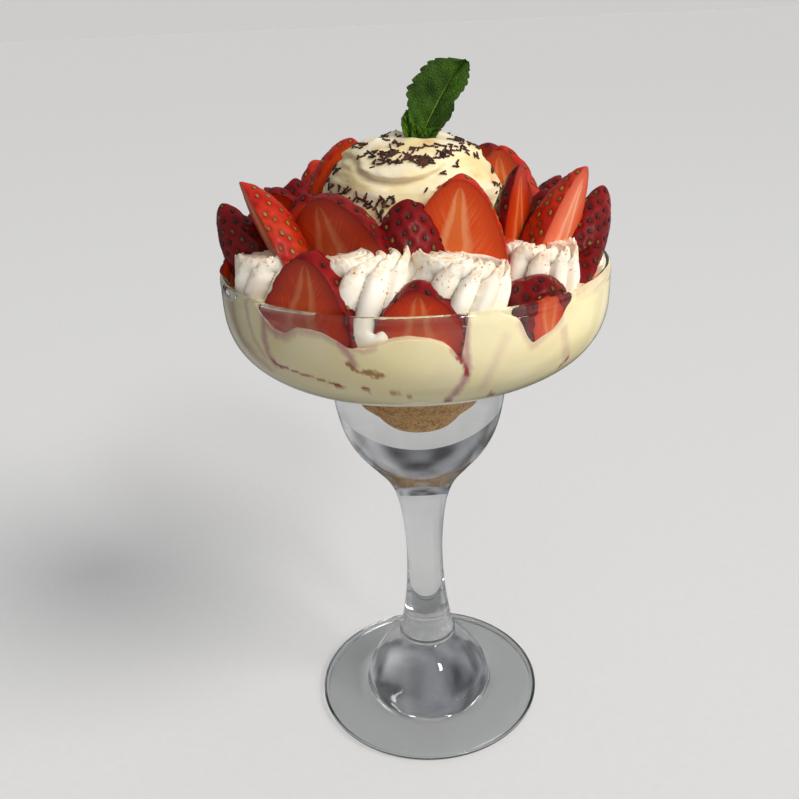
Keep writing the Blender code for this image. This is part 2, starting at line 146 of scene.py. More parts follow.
def standing(bearing, distance, height, lean=0, sideways=0, turn=0):
    """Where a piece of food stands: its own Z runs up its length and its own -Y looks out of the glass."""
    angle = math.radians(bearing)
    place = Matrix.Translation(Vector((math.sin(angle) * distance, -math.cos(angle) * distance, height)) * MM)
    facing = Matrix.Rotation(angle, 4, "Z")
    outwards = Matrix.Rotation(math.radians(lean), 4, "X")
    aside = Matrix.Rotation(math.radians(sideways), 4, "Y")
    spin = Matrix.Rotation(math.radians(turn), 4, "Z")
    return place @ facing @ aside @ outwards @ spin


def select_all_of(piece):
    """Makes a piece the only chosen one and selects its whole mesh in edit mode."""
    bpy.ops.object.select_all(action="DESELECT")
    piece.select_set(True)
    bpy.context.view_layer.objects.active = piece
    bpy.ops.object.mode_set(mode="EDIT")
    bpy.ops.mesh.select_all(action="SELECT")


def turned(name, line, steps):
    """A round piece: its line in mm is drawn point by point, spun round the axis, closed and turned outwards."""
    bpy.ops.object.select_all(action="DESELECT")
    bpy.ops.mesh.primitive_plane_add(size=MM, enter_editmode=True)
    piece = bpy.context.object
    bpy.ops.mesh.merge(type="CENTER")
    bpy.ops.transform.translate(value=(line[0][0] * MM, 0, line[0][1] * MM))
    for (out, up), (next_out, next_up) in zip(line, line[1:]):
        step = ((next_out - out) * MM, 0, (next_up - up) * MM)
        bpy.ops.mesh.extrude_vertices_move(TRANSFORM_OT_translate={"value": step})
    bpy.ops.mesh.select_all(action="SELECT")
    bpy.ops.mesh.spin(steps=steps, angle=math.tau, center=(0, 0, 0), axis=(0, 0, 1))
    bpy.ops.mesh.select_all(action="SELECT")
    bpy.ops.mesh.remove_doubles(threshold=0.001 * MM)
    bpy.ops.mesh.normals_make_consistent(inside=False)
    bpy.ops.object.mode_set(mode="OBJECT")
    piece.name = name
    return piece


def shaped(piece, rule):
    """Moves every corner of a piece to where the rule puts it."""
    for corner in piece.data.vertices:
        corner.co = rule(corner.co.copy())
    piece.data.update()


def smooth(piece, degrees=60):
    """Shades a piece smooth, but for edges sharper than so many degrees."""
    bpy.ops.object.select_all(action="DESELECT")
    piece.select_set(True)
    bpy.context.view_layer.objects.active = piece
    bpy.ops.object.shade_smooth_by_angle(angle=math.radians(degrees))


def attribute(piece, name, values):
    """Keeps one number for each corner of a piece, for its material to read."""
    made = piece.data.attributes.new(name, "FLOAT", "POINT")
    made.data.foreach_set("value", values)


def finish(piece, slot, *materials, stands_for=()):
    """Gives a piece its materials and its body, and hides the plain solids that it stands for. Its slot is not used."""
    for made in materials:
        piece.data.materials.append(made)
    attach(piece, "root")
    if stands_for:
        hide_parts(*stands_for)
    return piece


def scattered(name, shape, places, kept=None, values=()):
    """Copies of one small shape at every place, joined into one piece; each can keep its own value."""
    bpy.ops.object.select_all(action="DESELECT")
    for index, place in enumerate(places):
        copy = shape.copy()
        copy.data = shape.data.copy()
        copy.data.transform(place)
        if kept:
            attribute(copy, kept, [values[index]] * len(copy.data.vertices))
        bpy.context.collection.objects.link(copy)
        copy.select_set(True)
    bpy.data.objects.remove(shape)
    piece = bpy.context.selected_objects[0]
    bpy.context.view_layer.objects.active = piece
    bpy.ops.object.join()
    piece.name = name
    smooth(piece, 50)
    return piece


# ---------------------------------------------------------------- materials

def linear(code):
    """Linear RGBA of an sRGB hex colour."""
    shares = [int(code[start : start + 2], 16) / 255 for start in (1, 3, 5)]
    return (*(c / 12.92 if c <= 0.04045 else ((c + 0.055) / 1.055) ** 2.4 for c in shares), 1.0)


def add_node(tree, kind, inputs=None, stops=None, **settings):
    """Adds a shader node: settings by name, inputs as values or as sockets to link, stops for a colour ramp."""
    made = tree.nodes.new("ShaderNode" + kind)
    for name, value in settings.items():
        setattr(made, name, value)
    for name, value in (inputs or {}).items():
        if isinstance(value, bpy.types.NodeSocket):
            tree.links.new(value, made.inputs[name])
        else:
            made.inputs[name].default_value = value
    for index, (place, value) in enumerate(stops or ()):
        ramp = made.color_ramp.elements
        stop = ramp[index] if index < 2 else ramp.new(place)
        stop.position = place
        stop.color = linear(value) if isinstance(value, str) else (value, value, value, 1)
    return made


def new_material(name, **surface):
    """A material with a Principled shader, whose even values are set on its own sockets."""
    made = bpy.data.materials.new(name)
    made.use_nodes = True
    shader = made.node_tree.nodes["Principled BSDF"]
    for socket, value in surface.items():
        shader.inputs[socket.replace("_", " ")].default_value = value
    return made, made.node_tree, shader


def soda_lime_glass():
    """Soda-lime tableware glass, pressed and fire polished: clear in the thin bowl, with a slow ripple in its surface.
    Its base colour greys towards the foot, a painted shade for the darker room seen through the lower parts. It lets
    lamps through to the food behind it, as thin clear glass does."""
    made, tree, shader = new_material("soda_lime_glass", Roughness=0.0, IOR=1.5, Transmission_Weight=1.0)
    place = add_node(tree, "TexCoord").outputs["Object"]
    height = add_node(tree, "SeparateXYZ", {0: place}).outputs["Z"]
    share = add_node(tree, "Math", {0: height, 1: 1 / (160 * MM)}, operation="MULTIPLY").outputs[0]
    # painted shade: the base colour is greyer low down, for the darker room that shows through the foot and stem
    stops = [(0.05, "#C6C7C9"), (0.2, "#CACBCD"), (0.3, "#E0E1E2"), (0.72, "#DEDFE0"), (0.85, "#EEEFEE")]
    tone = add_node(tree, "ValToRGB", {0: share}, stops)
    tree.links.new(tone.outputs[0], shader.inputs["Base Color"])
    ripple = add_node(tree, "TexNoise", {"Vector": place, "Scale": 1 / (9 * MM), "Detail": 1.0})
    bump = add_node(tree, "Bump", {"Strength": 0.08, "Distance": 0.4 * MM, "Height": ripple.outputs[0]})
    tree.links.new(bump.outputs[0], shader.inputs["Normal"])
    clear = add_node(tree, "BsdfTransparent", {"Color": linear("#DCDDDC")})
    rays = add_node(tree, "LightPath")
    mixed = add_node(tree, "MixShader", {0: rays.outputs["Is Shadow Ray"], 1: shader.outputs[0], 2: clear.outputs[0]})
    tree.links.new(mixed.outputs[0], tree.nodes["Material Output"].inputs["Surface"])
    return made


def set_custard():
    """Custard cream set against the glass: smooth, pale yellow, stained pink and lilac by berry juice where
    slices press it, with a few red and brown bits."""
    made, tree, shader = new_material(
        "set_custard", Roughness=0.42, Subsurface_Weight=0.25, Subsurface_Scale=2.0 * MM,
        Subsurface_Radius=(1.0, 0.7, 0.4)
    )
    place = add_node(tree, "TexCoord").outputs["Object"]
    cloud = add_node(tree, "TexNoise", {"Vector": place, "Scale": 1 / (14 * MM), "Detail": 3.0})
    base = add_node(tree, "ValToRGB", {0: cloud.outputs[0]}, [(0.3, "#F0E3B2"), (0.7, "#F4EAC6")])
    colour = base.outputs[0]
    for name, code in (("juice", "#B57F88"), ("red", "#96161A"), ("bits", "#A0662A")):
        share = add_node(tree, "Attribute", attribute_name=name)
        colour = add_node(
            tree, "Mix", {0: share.outputs["Fac"], 6: colour, 7: linear(code)}, data_type="RGBA"
        ).outputs[2]
    tree.links.new(colour, shader.inputs["Base Color"])
    bubbles = add_node(tree, "TexNoise", {"Vector": place, "Scale": 1 / (1.2 * MM), "Detail": 2.0})
    bump = add_node(tree, "Bump", {"Strength": 0.15, "Distance": 0.2 * MM, "Height": bubbles.outputs[0]})
    tree.links.new(bump.outputs[0], shader.inputs["Normal"])
    return made


def biscuit_crumb():
    """Digestive biscuit crumbled to sand: matt golden brown grains of about half a millimetre, some darker."""
    made, tree, shader = new_material("biscuit_crumb", Roughness=0.9)
    place = add_node(tree, "TexCoord").outputs["Object"]
    grain = add_node(tree, "TexVoronoi", {"Vector": place, "Scale": 1 / (0.55 * MM)})
    patches = add_node(tree, "TexNoise", {"Vector": place, "Scale": 1 / (3 * MM), "Detail": 4.0})
    tone = add_node(tree, "Math", {0: grain.outputs["Color"], 1: patches.outputs[0]}, operation="ADD")
    stops = [(0.35, "#A97540"), (0.55, "#D6A668"), (0.8, "#E2B97E"), (1.0, "#F0D3A2")]
    halved = add_node(tree, "Math", {0: tone.outputs[0], 1: 0.6}, operation="MULTIPLY")
    colour = add_node(tree, "ValToRGB", {0: halved.outputs[0]}, stops)
    tree.links.new(colour.outputs[0], shader.inputs["Base Color"])
    bump = add_node(tree, "Bump", {"Strength": 0.8, "Distance": 0.3 * MM, "Height": grain.outputs["Distance"]})
    tree.links.new(bump.outputs[0], shader.inputs["Normal"])
    return made


def whipped_cream():
    """Whipped cream piped through a star nozzle: soft white with a blush of juice, satin on its ridges, finely
    torn, and dusted tan near its tips."""
    made, tree, shader = new_material(
        "whipped_cream", Roughness=0.5, Subsurface_Weight=0.3, Subsurface_Scale=1.5 * MM,
        Subsurface_Radius=(1.0, 0.75, 0.6)
    )
    place = add_node(tree, "TexCoord").outputs["Object"]
    blush = add_node(tree, "TexNoise", {"Vector": place, "Scale": 1 / (11 * MM), "Detail": 2.0})
    base = add_node(tree, "ValToRGB", {0: blush.outputs[0]}, [(0.42, "#F6EFE0"), (0.66, "#F0E2D0")])
    freckles = add_node(tree, "TexNoise", {"Vector": place, "Scale": 1 / (2.2 * MM), "Detail": 6.0, "Roughness": 0.7})
    tips = add_node(tree, "Attribute", attribute_name="tip")
    dusty = add_node(tree, "Math", {0: freckles.outputs[0], 1: tips.outputs["Fac"]}, operation="MULTIPLY")
    share = add_node(
        tree, "MapRange", {"Value": dusty.outputs[0], "From Min": 0.38, "From Max": 0.64, "To Max": 0.65}
    )
    colour = add_node(
        tree, "Mix", {0: share.outputs[0], 6: base.outputs[0], 7: linear("#C8984F")}, data_type="RGBA"
    )
    tree.links.new(colour.outputs[2], shader.inputs["Base Color"])
    froth = add_node(tree, "TexNoise", {"Vector": place, "Scale": 1 / (0.9 * MM), "Detail": 4.0})
    bump = add_node(tree, "Bump", {"Strength": 0.35, "Distance": 0.25 * MM, "Height": froth.outputs[0]})
    tree.links.new(bump.outputs[0], shader.inputs["Normal"])
    return made


def soft_ice_cream():
    """Vanilla ice cream smoothed with a wet scoop: pale yellow, glossy where it melts, with small smears and
    an orange stain of syrup."""
    made, tree, shader = new_material(
        "soft_ice_cream", Subsurface_Weight=0.3, Subsurface_Scale=2.0 * MM, Subsurface_Radius=(1.0, 0.7, 0.4),
        Coat_Weight=0.25, Coat_Roughness=0.15
    )
    place = add_node(tree, "TexCoord").outputs["Object"]
    drawn = add_node(tree, "Mapping", {"Vector": place, "Scale": (1, 1, 3)})
    cloud = add_node(tree, "TexNoise", {"Vector": drawn.outputs[0], "Scale": 1 / (16 * MM), "Detail": 4.0})
    stops = [(0.35, "#E6D096"), (0.5, "#EEDCAA"), (0.68, "#F3E7C8")]
    base = add_node(tree, "ValToRGB", {0: cloud.outputs[0]}, stops)
    syrup = add_node(tree, "Attribute", attribute_name="syrup")
    stained = add_node(
        tree, "Mix", {0: syrup.outputs["Fac"], 6: base.outputs[0], 7: linear("#E8962A")}, data_type="RGBA"
    )
    tree.links.new(stained.outputs[2], shader.inputs["Base Color"])
    wet = add_node(tree, "MapRange", {"Value": cloud.outputs[0], "To Min": 0.22, "To Max": 0.6})
    tree.links.new(wet.outputs[0], shader.inputs["Roughness"])
    smears = add_node(tree, "TexNoise", {"Vector": drawn.outputs[0], "Scale": 1 / (4 * MM), "Detail": 5.0})
    bump = add_node(tree, "Bump", {"Strength": 0.5, "Distance": 0.5 * MM, "Height": smears.outputs[0]})
    tree.links.new(bump.outputs[0], shader.inputs["Normal"])
    return made


def strawberry_skin(name, dark, ripe, light):
    """Skin of a ripe strawberry, washed: satin red with small glints, darker in each seed's pit as a painted shade of
    the hollow.
    """
    made, tree, shader = new_material(name, Roughness=0.36, Specular_IOR_Level=0.25)
    place = add_node(tree, "TexCoord").outputs["Object"]
    cloud = add_node(tree, "TexNoise", {"Vector": place, "Scale": 1 / (9 * MM), "Detail": 3.0})
    base = add_node(tree, "ValToRGB", {0: cloud.outputs[0]}, [(0.38, ripe), (0.68, light)])
    # painted shade: the colour darkens towards the first, darkest tone in each seed's hollow
    pit = add_node(tree, "Attribute", attribute_name="pit")
    colour = add_node(
        tree, "Mix", {0: pit.outputs["Fac"], 6: base.outputs[0], 7: linear(dark)}, data_type="RGBA"
    )
    tree.links.new(colour.outputs[2], shader.inputs["Base Color"])
    pores = add_node(tree, "TexNoise", {"Vector": place, "Scale": 1 / (0.9 * MM), "Detail": 2.0})
    bump = add_node(tree, "Bump", {"Strength": 0.4, "Distance": 0.2 * MM, "Height": pores.outputs[0]})
    tree.links.new(bump.outputs[0], shader.inputs["Normal"])
    return made


def strawberry_flesh(name, core, line, middle, edge):
    """Flesh of a strawberry, cut lengthwise: wet, orange red, deeper towards the skin. Two pale lines close over
    the long core, and thin pale fibres rise from them to the skin. The UV map gives the width across and the
    length along the berry."""
    made, tree, shader = new_material(name, Roughness=0.36, Specular_IOR_Level=0.35)
    flat = add_node(tree, "UVMap", uv_map="along_berry").outputs[0]
    parts = add_node(tree, "SeparateXYZ", {0: flat})
    across = add_node(tree, "Math", {0: parts.outputs["X"], 1: 0.5}, operation="SUBTRACT").outputs[0]
    aside = add_node(tree, "Math", {0: across}, operation="ABSOLUTE").outputs[0]
    # the core narrows to a point near the tip: this is how far out a place is, in half widths of the core
    left = add_node(tree, "MapRange", {"Value": parts.outputs["Y"], "From Min": 0.92, "From Max": 0.1, "To Min": 0.0001})
    half = add_node(tree, "Math", {0: left.outputs[0], 1: 0.6}, operation="POWER").outputs[0]
    wide = add_node(tree, "Math", {0: half, 1: 0.17}, operation="MULTIPLY").outputs[0]
    ring = add_node(tree, "Math", {0: aside, 1: wide}, operation="DIVIDE").outputs[0]
    wobble = add_node(tree, "TexNoise", {"Vector": flat, "Scale": 6.0, "Detail": 2.0})
    uneven = add_node(tree, "MapRange", {"Value": wobble.outputs[0], "To Min": -0.5, "To Max": 0.5}).outputs[0]
    ring = add_node(tree, "Math", {0: ring, 1: uneven}, operation="ADD").outputs[0]
    spread = add_node(tree, "Math", {0: ring, 1: 0.25}, operation="MULTIPLY").outputs[0]
    stops = [(0.0, core), (0.12, core), (0.2, line), (0.27, line), (0.42, middle)]
    zones = add_node(tree, "ValToRGB", {0: spread}, stops)
    # fibres: a noise that is fine along the berry and drawn out on the way to the skin, rising on its way
    steep = add_node(tree, "MapRange", {"Value": parts.outputs["Y"], "To Min": 0.1, "To Max": 1.3}).outputs[0]
    rise = add_node(tree, "Math", {0: aside, 1: steep}, operation="MULTIPLY").outputs[0]
    level = add_node(tree, "Math", {0: parts.outputs["Y"], 1: rise}, operation="SUBTRACT").outputs[0]
    fan = add_node(tree, "CombineXYZ", {0: across, 1: level}).outputs[0]
    drawn = add_node(tree, "VectorMath", {0: fan, 1: (3.0, 34.0, 1.0)}, operation="MULTIPLY").outputs[0]
    fibre = add_node(tree, "TexNoise", {"Vector": drawn, "Scale": 1.0, "Detail": 3.0, "Roughness": 0.55})
    streak = add_node(tree, "MapRange", {"Value": fibre.outputs[0], "From Min": 0.5, "From Max": 0.75}).outputs[0]
    band = add_node(tree, "ValToRGB", {0: spread}, [(0.1, 0.05), (0.3, 0.6), (0.6, 0.35), (0.95, 0.1)]).outputs[0]
    share = add_node(tree, "Math", {0: streak, 1: band}, operation="MULTIPLY").outputs[0]
    streaked = add_node(tree, "Mix", {0: share, 6: zones.outputs[0], 7: linear(line)}, data_type="RGBA").outputs[2]
    depth = add_node(tree, "Attribute", attribute_name="depth")
    rim = add_node(tree, "ValToRGB", {0: depth.outputs["Fac"]}, [(0.03, 0.95), (0.1, 0.6), (0.5, 0.0)]).outputs[0]
    colour = add_node(tree, "Mix", {0: rim, 6: streaked, 7: linear(edge)}, data_type="RGBA").outputs[2]
    tree.links.new(colour, shader.inputs["Base Color"])
    place = add_node(tree, "TexCoord").outputs["Object"]
    cells = add_node(tree, "TexNoise", {"Vector": place, "Scale": 1 / (0.8 * MM), "Detail": 3.0})
    relief = add_node(tree, "Math", {0: cells.outputs[0], 1: fibre.outputs[0]}, operation="ADD").outputs[0]
    bump = add_node(tree, "Bump", {"Strength": 0.3, "Distance": 0.2 * MM, "Height": relief})
    tree.links.new(bump.outputs[0], shader.inputs["Normal"])
    return made


def strawberry_seed():
    """Strawberry seeds: hard, satin, from olive yellow on bright skin to dark brown on dark skin."""
    made, tree, shader = new_material("strawberry_seed", Roughness=0.45)
    place = add_node(tree, "TexCoord").outputs["Object"]
    tone = add_node(tree, "TexNoise", {"Vector": place, "Scale": 1 / (3 * MM)})
    ripeness = add_node(tree, "Attribute", attribute_name="ripeness")
    both = add_node(tree, "Math", {0: tone.outputs[0], 1: ripeness.outputs["Fac"]}, operation="ADD").outputs[0]
    stops = [(0.3, "#22100A"), (0.5, "#3A1D0C"), (0.72, "#66561C"), (0.95, "#8E7F33")]
    colour = add_node(tree, "ValToRGB", {0: both}, stops)
    tree.links.new(colour.outputs[0], shader.inputs["Base Color"])
    return made


def dark_chocolate():
    """Dark chocolate vermicelli, extruded and broken: satin brown, a little dusty on some pieces."""
    made, tree, shader = new_material("dark_chocolate", Roughness=0.45)
    place = add_node(tree, "TexCoord").outputs["Object"]
    tone = add_node(tree, "TexNoise", {"Vector": place, "Scale": 1 / (2.5 * MM), "Detail": 2.0})
    colour = add_node(tree, "ValToRGB", {0: tone.outputs[0]}, [(0.35, "#2C130B"), (0.7, "#5A2E1C")])
    tree.links.new(colour.outputs[0], shader.inputs["Base Color"])
    return made


def toasted_dust():
    """Toasted biscuit dust: dry specks from yellow to orange brown."""
    made, tree, shader = new_material("toasted_dust", Roughness=0.9)
    place = add_node(tree, "TexCoord").outputs["Object"]
    tone = add_node(tree, "TexNoise", {"Vector": place, "Scale": 1 / (2 * MM)})
    colour = add_node(tree, "ValToRGB", {0: tone.outputs[0]}, [(0.35, "#A8642A"), (0.55, "#D08E3C"), (0.7, "#E3B55E")])
    tree.links.new(colour.outputs[0], shader.inputs["Base Color"])
    return made


def mint_leaf():
    """A fresh mint leaf: deep green, almost matt, puckered between its veins and netted finely all over, with a pale
    midrib; its side veins are darkened as a painted shade of their furrows. The UV map gives the width across and
    the length along the leaf."""
    made, tree, shader = new_material("mint_leaf", Roughness=0.5, Specular_IOR_Level=0.25)
    flat = add_node(tree, "UVMap", uv_map="along_leaf").outputs[0]
    parts = add_node(tree, "SeparateXYZ", {0: flat})
    middle = add_node(tree, "Math", {0: parts.outputs["X"], 1: 0.5}, operation="SUBTRACT").outputs[0]
    away = add_node(tree, "Math", {0: middle}, operation="ABSOLUTE").outputs[0]
    climb = add_node(tree, "Math", {0: away, 1: -0.44}, operation="MULTIPLY").outputs[0]
    along = add_node(tree, "Math", {0: parts.outputs["Y"], 1: climb}, operation="ADD").outputs[0]
    rows = add_node(tree, "Math", {0: along, 1: float(VEINS)}, operation="MULTIPLY").outputs[0]
    wave = add_node(tree, "Math", {0: rows, 1: 1.0}, operation="PINGPONG").outputs[0]
    vein = add_node(
        tree, "MapRange", {"Value": wave, "From Max": 0.10, "To Min": 0.45, "To Max": 0.0}
    ).outputs[0]
    rib = add_node(
        tree, "MapRange", {"Value": away, "From Min": 0.005, "From Max": 0.017, "To Min": 0.7, "To Max": 0.0}
    ).outputs[0]
    fade = add_node(
        tree, "MapRange", {"Value": parts.outputs["Y"], "From Min": 0.5, "From Max": 0.8, "To Min": 1.0, "To Max": 0.15}
    ).outputs[0]
    shown = add_node(tree, "Math", {0: rib, 1: fade}, operation="MULTIPLY").outputs[0]
    place = add_node(tree, "TexCoord").outputs["Object"]
    cloud = add_node(tree, "TexNoise", {"Vector": place, "Scale": 1 / (5 * MM), "Detail": 4.0})
    base = add_node(tree, "ValToRGB", {0: cloud.outputs[0]}, [(0.35, "#223A06"), (0.55, "#34530C"), (0.72, "#46680F")])
    # painted shade: the side veins' furrows are darkened towards a deeper green
    vein_shaded = add_node(tree, "Mix", {0: vein, 6: base.outputs[0], 7: linear("#1C3005")}, data_type="RGBA").outputs[2]
    colour = add_node(tree, "Mix", {0: shown, 6: vein_shaded, 7: linear("#8E9C48")}, data_type="RGBA").outputs[2]
    tree.links.new(colour, shader.inputs["Base Color"])
    net = add_node(tree, "TexVoronoi", {"Vector": place, "Scale": 1 / (0.9 * MM)}, feature="DISTANCE_TO_EDGE")
    raised = add_node(tree, "MapRange", {"Value": net.outputs["Distance"], "From Max": 0.25}).outputs[0]
    relief = add_node(tree, "Math", {0: raised, 1: wave}, operation="ADD").outputs[0]
    bump = add_node(tree, "Bump", {"Strength": 0.6, "Distance": 0.3 * MM, "Height": relief})
    tree.links.new(bump.outputs[0], shader.inputs["Normal"])
    return made


def white_board():
    """The floor: white card, matt."""
    made, tree, shader = new_material("white_board", Roughness=0.9, Specular_IOR_Level=0.0)
    place = add_node(tree, "TexCoord").outputs["Object"]
    tone = add_node(tree, "TexNoise", {"Vector": place, "Scale": 1 / (3 * MM), "Detail": 2.0})
    colour = add_node(tree, "ValToRGB", {0: tone.outputs[0]}, [(0.3, "#D9D9D9"), (0.7, "#DBDBDB")])
    tree.links.new(colour.outputs[0], shader.inputs["Base Color"])
    return made


# ---------------------------------------------------------------- the glass, the crumb and the cream

def make_glass():
    """The coupe: up the inside from the small cavity, over the rim's bead, down the outside, under the foot."""
    floor = BOWL_CENTRE - BOWL_DEPTH + FLOOR
    cavity = [
        (0, CAVITY_FLOOR),
        (CAVITY_RADIUS * 0.52, CAVITY_FLOOR + 1.9),
        (CAVITY_RADIUS * 0.9, CAVITY_FLOOR + 8.5),
        (CAVITY_RADIUS, CAVITY_TOP - 5),
        (CAVITY_RADIUS + 1.2, CAVITY_TOP),
    ]
    inside = smooth_line(cavity, 5) + bowl_arc(BOWL_RADIUS - WALL, BOWL_CENTRE - floor, 22, 26)[::-1]
    bead = [
        (BOWL_RADIUS - WALL, RIM_HEIGHT - 3.6),
        (BOWL_RADIUS - WALL - 0.25, RIM_HEIGHT - 2.4),
        (BOWL_RADIUS - WALL - 0.2, RIM_HEIGHT - 1.0),
        (BOWL_RADIUS - 1.7, RIM_HEIGHT - 0.15),
        (BOWL_RADIUS - 1.1, RIM_HEIGHT),
        (BOWL_RADIUS - 0.4, RIM_HEIGHT - 0.2),
        (BOWL_RADIUS, RIM_HEIGHT - 1.0),
        (BOWL_RADIUS + 0.05, RIM_HEIGHT - 2.2),
        (BOWL_RADIUS - 0.1, RIM_HEIGHT - 3.4),
        (BOWL_RADIUS - 0.02, RIM_HEIGHT - 4.6),
    ]
    outside = bowl_arc(BOWL_RADIUS, BOWL_DEPTH, 30.5, 26)
    lower = [
        (27.6, 121), (26.4, 112.5), (24.4, 105), (21.0, 98.5), (16.2, 92.6), (11.4, 86.5), (8.6, 80), (7.0, 71.5),
        (6.1, 58), (6.7, 43), (8.5, 30), (9.3, 26.4), (9.9, 25.2), (9.6, 24), (11.6, 22.3), (15.4, 18.4),
        (20.2, 11.2), (21.6, 5.6), (22.6, 3.6),
    ]
    foot = [
        (26, 2.75), (FOOT_RADIUS - 1.2, 2.4), (FOOT_RADIUS - 0.25, 2.1), (FOOT_RADIUS, 1.5),
        (FOOT_RADIUS - 0.5, 0.5), (FOOT_RADIUS - 1.5, 0), (FOOT_RADIUS - 2.3, 0.3), (33, 0.7), (20, 1.0), (0, 1.4),
    ]
    line = inside + smooth_line(bead, 3) + outside[1:] + smooth_line(lower, 4) + smooth_line(foot, 3)
    piece = turned("glass_shown", line, 144)
    smooth(piece, 50)
    return finish(piece, "glass", soda_lime_glass(), stands_for=["glass"])


def make_crumb():
    """Biscuit crumb, which reaches just into the wall of the small cavity that it fills."""
    out = INTO_WALL
    side = [
        (0, CAVITY_FLOOR - out),
        (CAVITY_RADIUS * 0.52, CAVITY_FLOOR + 1.9 - out),
        (CAVITY_RADIUS * 0.9 + out, CAVITY_FLOOR + 8.5),
        (CAVITY_RADIUS + out, CAVITY_TOP - 5),
        (CAVITY_RADIUS + 1.2 + out, CAVITY_TOP),
    ]
    top = BOWL_CENTRE - BOWL_DEPTH + FLOOR
    piece = turned("crumb_shown", [*smooth_line(side, 6), (19.0, top - 0.2), (12, top), (0, top + 0.3)], 96)
    smooth(piece)
    return finish(piece, "crumb", biscuit_crumb(), stands_for=["crumb_base"])


# Where the cream's edge lies on the glass, once round: it climbs between the berries and dips below them
CREAM_EDGE = (
    (-180, 157.5), (-174, 153.4), (-166, 152.2), (-157, 153.0), (-150, 157.6), (-136, 158.6), (-128, 157.0),
    (-122, 152.8), (-114, 152.0), (-107, 153.4), (-101, 158.2), (-80, 159.0), (-72, 158.2), (-66, 156.4),
    (-62, 157.0), (-56, 159.0), (-50, 159.0), (-46.4, 158.0), (-44.6, 156.0), (-42, 153.6), (-37.5, 152.8),
    (-33.5, 154.9), (-29, 155.3), (-24.7, 154.9), (-20.5, 153.2), (-18, 151.6), (-14, 151.5), (-10.8, 152.1),
    (-6.6, 153.5), (-1.7, 154.0), (3.1, 153.6), (6.7, 152.5), (9.1, 150.6), (10.7, 148.2), (11.6, 149.6),
    (12.7, 158.6), (18, 159.2), (22.1, 158.5), (26.4, 157.1), (27.8, 155.0), (29.5, 151.3), (31.4, 149.2),
    (34.4, 150.4), (38.2, 151.4), (41.5, 153.8), (43.6, 156.6), (47, 158.9), (84, 158.9), (90, 154.5),
    (96, 152.4), (103, 152.6), (110, 156.5), (116, 158.6), (124, 157.5), (129, 153.6), (134, 153.4),
    (140, 157.8), (150, 158.4), (156, 154.5), (163, 152.4), (170, 153.2), (175, 157.0),
)
# What shows on the cream's side through the glass: kind, half width in mm, strength, and bearings and heights
MARKS = (
    ("juice", 1.5, 0.75, ((-44.6, 156.5), (-45.3, 150.1), (-44.6, 145.5), (-43.4, 143.8))),
    ("juice", 2.4, 0.45, ((-62.6, 158.0), (-61.5, 151.0), (-58.9, 146.5), (-53.3, 144.0), (-48, 141.5))),
    ("juice", 1.1, 0.45, ((-52.5, 158.0), (-52.1, 154.0), (-50.3, 148.8), (-46.9, 144.8))),
    ("juice", 1.6, 0.7, ((-43.5, 154.5), (-40, 152.8), (-36.8, 152.6), (-34, 154.2))),
    ("juice", 1.2, 0.5, ((-33, 154.8), (-25, 154.6), (-20.5, 152.8))),
    ("juice", 1.3, 0.8, ((-20.2, 152.8), (-18.4, 150.9), (-17.2, 149.0), (-16.6, 147.0))),
    ("juice", 1.0, 0.45, ((-16.5, 151.4), (-13.5, 150.9), (-11.0, 151.8))),
    ("juice", 1.3, 0.9, ((9.4, 150.6), (11.2, 149.0), (12.4, 147.6), (12.9, 145.0), (12.3, 142.0), (10.2, 138.0),
                         (8.4, 135.9))),
    ("juice", 1.1, 0.8, ((12.6, 158.0), (12.3, 153.0), (12.7, 148.0))),
    ("red", 0.75, 0.95, ((9.6, 150.4), (10.6, 148.6), (11.6, 147.4), (12.6, 145.6), (12.9, 143.5))),
    ("juice", 1.8, 0.22, ((23.0, 152.5), (21.2, 148.5), (19.6, 144.0), (18.2, 139.5))),
    ("juice", 1.4, 0.4, ((27.5, 155.2), (29.8, 150.6), (31.4, 148.6), (34.6, 150.0), (41.0, 153.0))),
    ("juice", 1.8, 0.35, ((42.5, 150.0), (45.0, 144.0), (47.5, 141.0))),
    ("juice", 1.8, 0.45, ((48, 159.0), (56, 159.2), (66, 159.2), (76, 159.0))),
    ("red", 0.6, 0.95, ((-44.0, 144.4), (-41.5, 143.4), (-38.2, 143.3))),
    ("red", 0.42, 0.85, ((-38.2, 143.2), (-33.2, 142.5), (-29.5, 142.1))),
    ("bits", 0.45, 0.9, ((-29.0, 142.0), (-24.0, 141.1))),
    ("red", 0.7, 0.95, ((-23.5, 141.0), (-20.1, 140.1))),
    ("red", 1.0, 0.95, ((-14.9, 140.4), (-13.9, 140.3))),
    ("bits", 0.55, 0.7, ((-7.6, 139.3), (-4.6, 138.6), (-2.4, 138.0))),
    ("red", 0.65, 0.9, ((8.1, 135.6), (9.7, 135.2))),
    ("red", 0.7, 0.95, ((21.8, 136.2), (23.6, 135.4))),
    ("red", 0.9, 0.9, ((46.7, 139.6), (47.8, 141.2))),
    ("bits", 0.9, 0.9, ((-18.2, 147.3), (-16.9, 146.5))),
    ("bits", 0.7, 0.9, ((-15.9, 145.6), (-14.4, 145.2))),
    ("bits", 1.1, 0.9, ((-13.8, 145.6), (-12.2, 145.0), (-9.6, 144.4))),
    ("juice", 1.5, 0.5, ((-124, 153.0), (-120, 146.0), (-114, 143.0), (-109, 149.0), (-106, 154.0))),
    ("red", 0.7, 0.8, ((-166, 141.0), (-158, 140.2), (-152, 140.9))),
    ("juice", 1.5, 0.45, ((88, 155.0), (91, 147.0), (97, 142.5), (105, 144.0), (109, 154.0))),
    ("red", 0.6, 0.8, ((99, 140.0), (106, 139.2))),
    ("juice", 1.6, 0.45, ((152, 156.0), (156, 146.0), (164, 142.0), (173, 147.0), (176, 156.0))),
    ("red", 0.9, 0.85, ((134, 140.5), (136.5, 141.0))),
)
SIDE_FOOT = 141.0  # the cream's side keeps to its drawn rows below this height


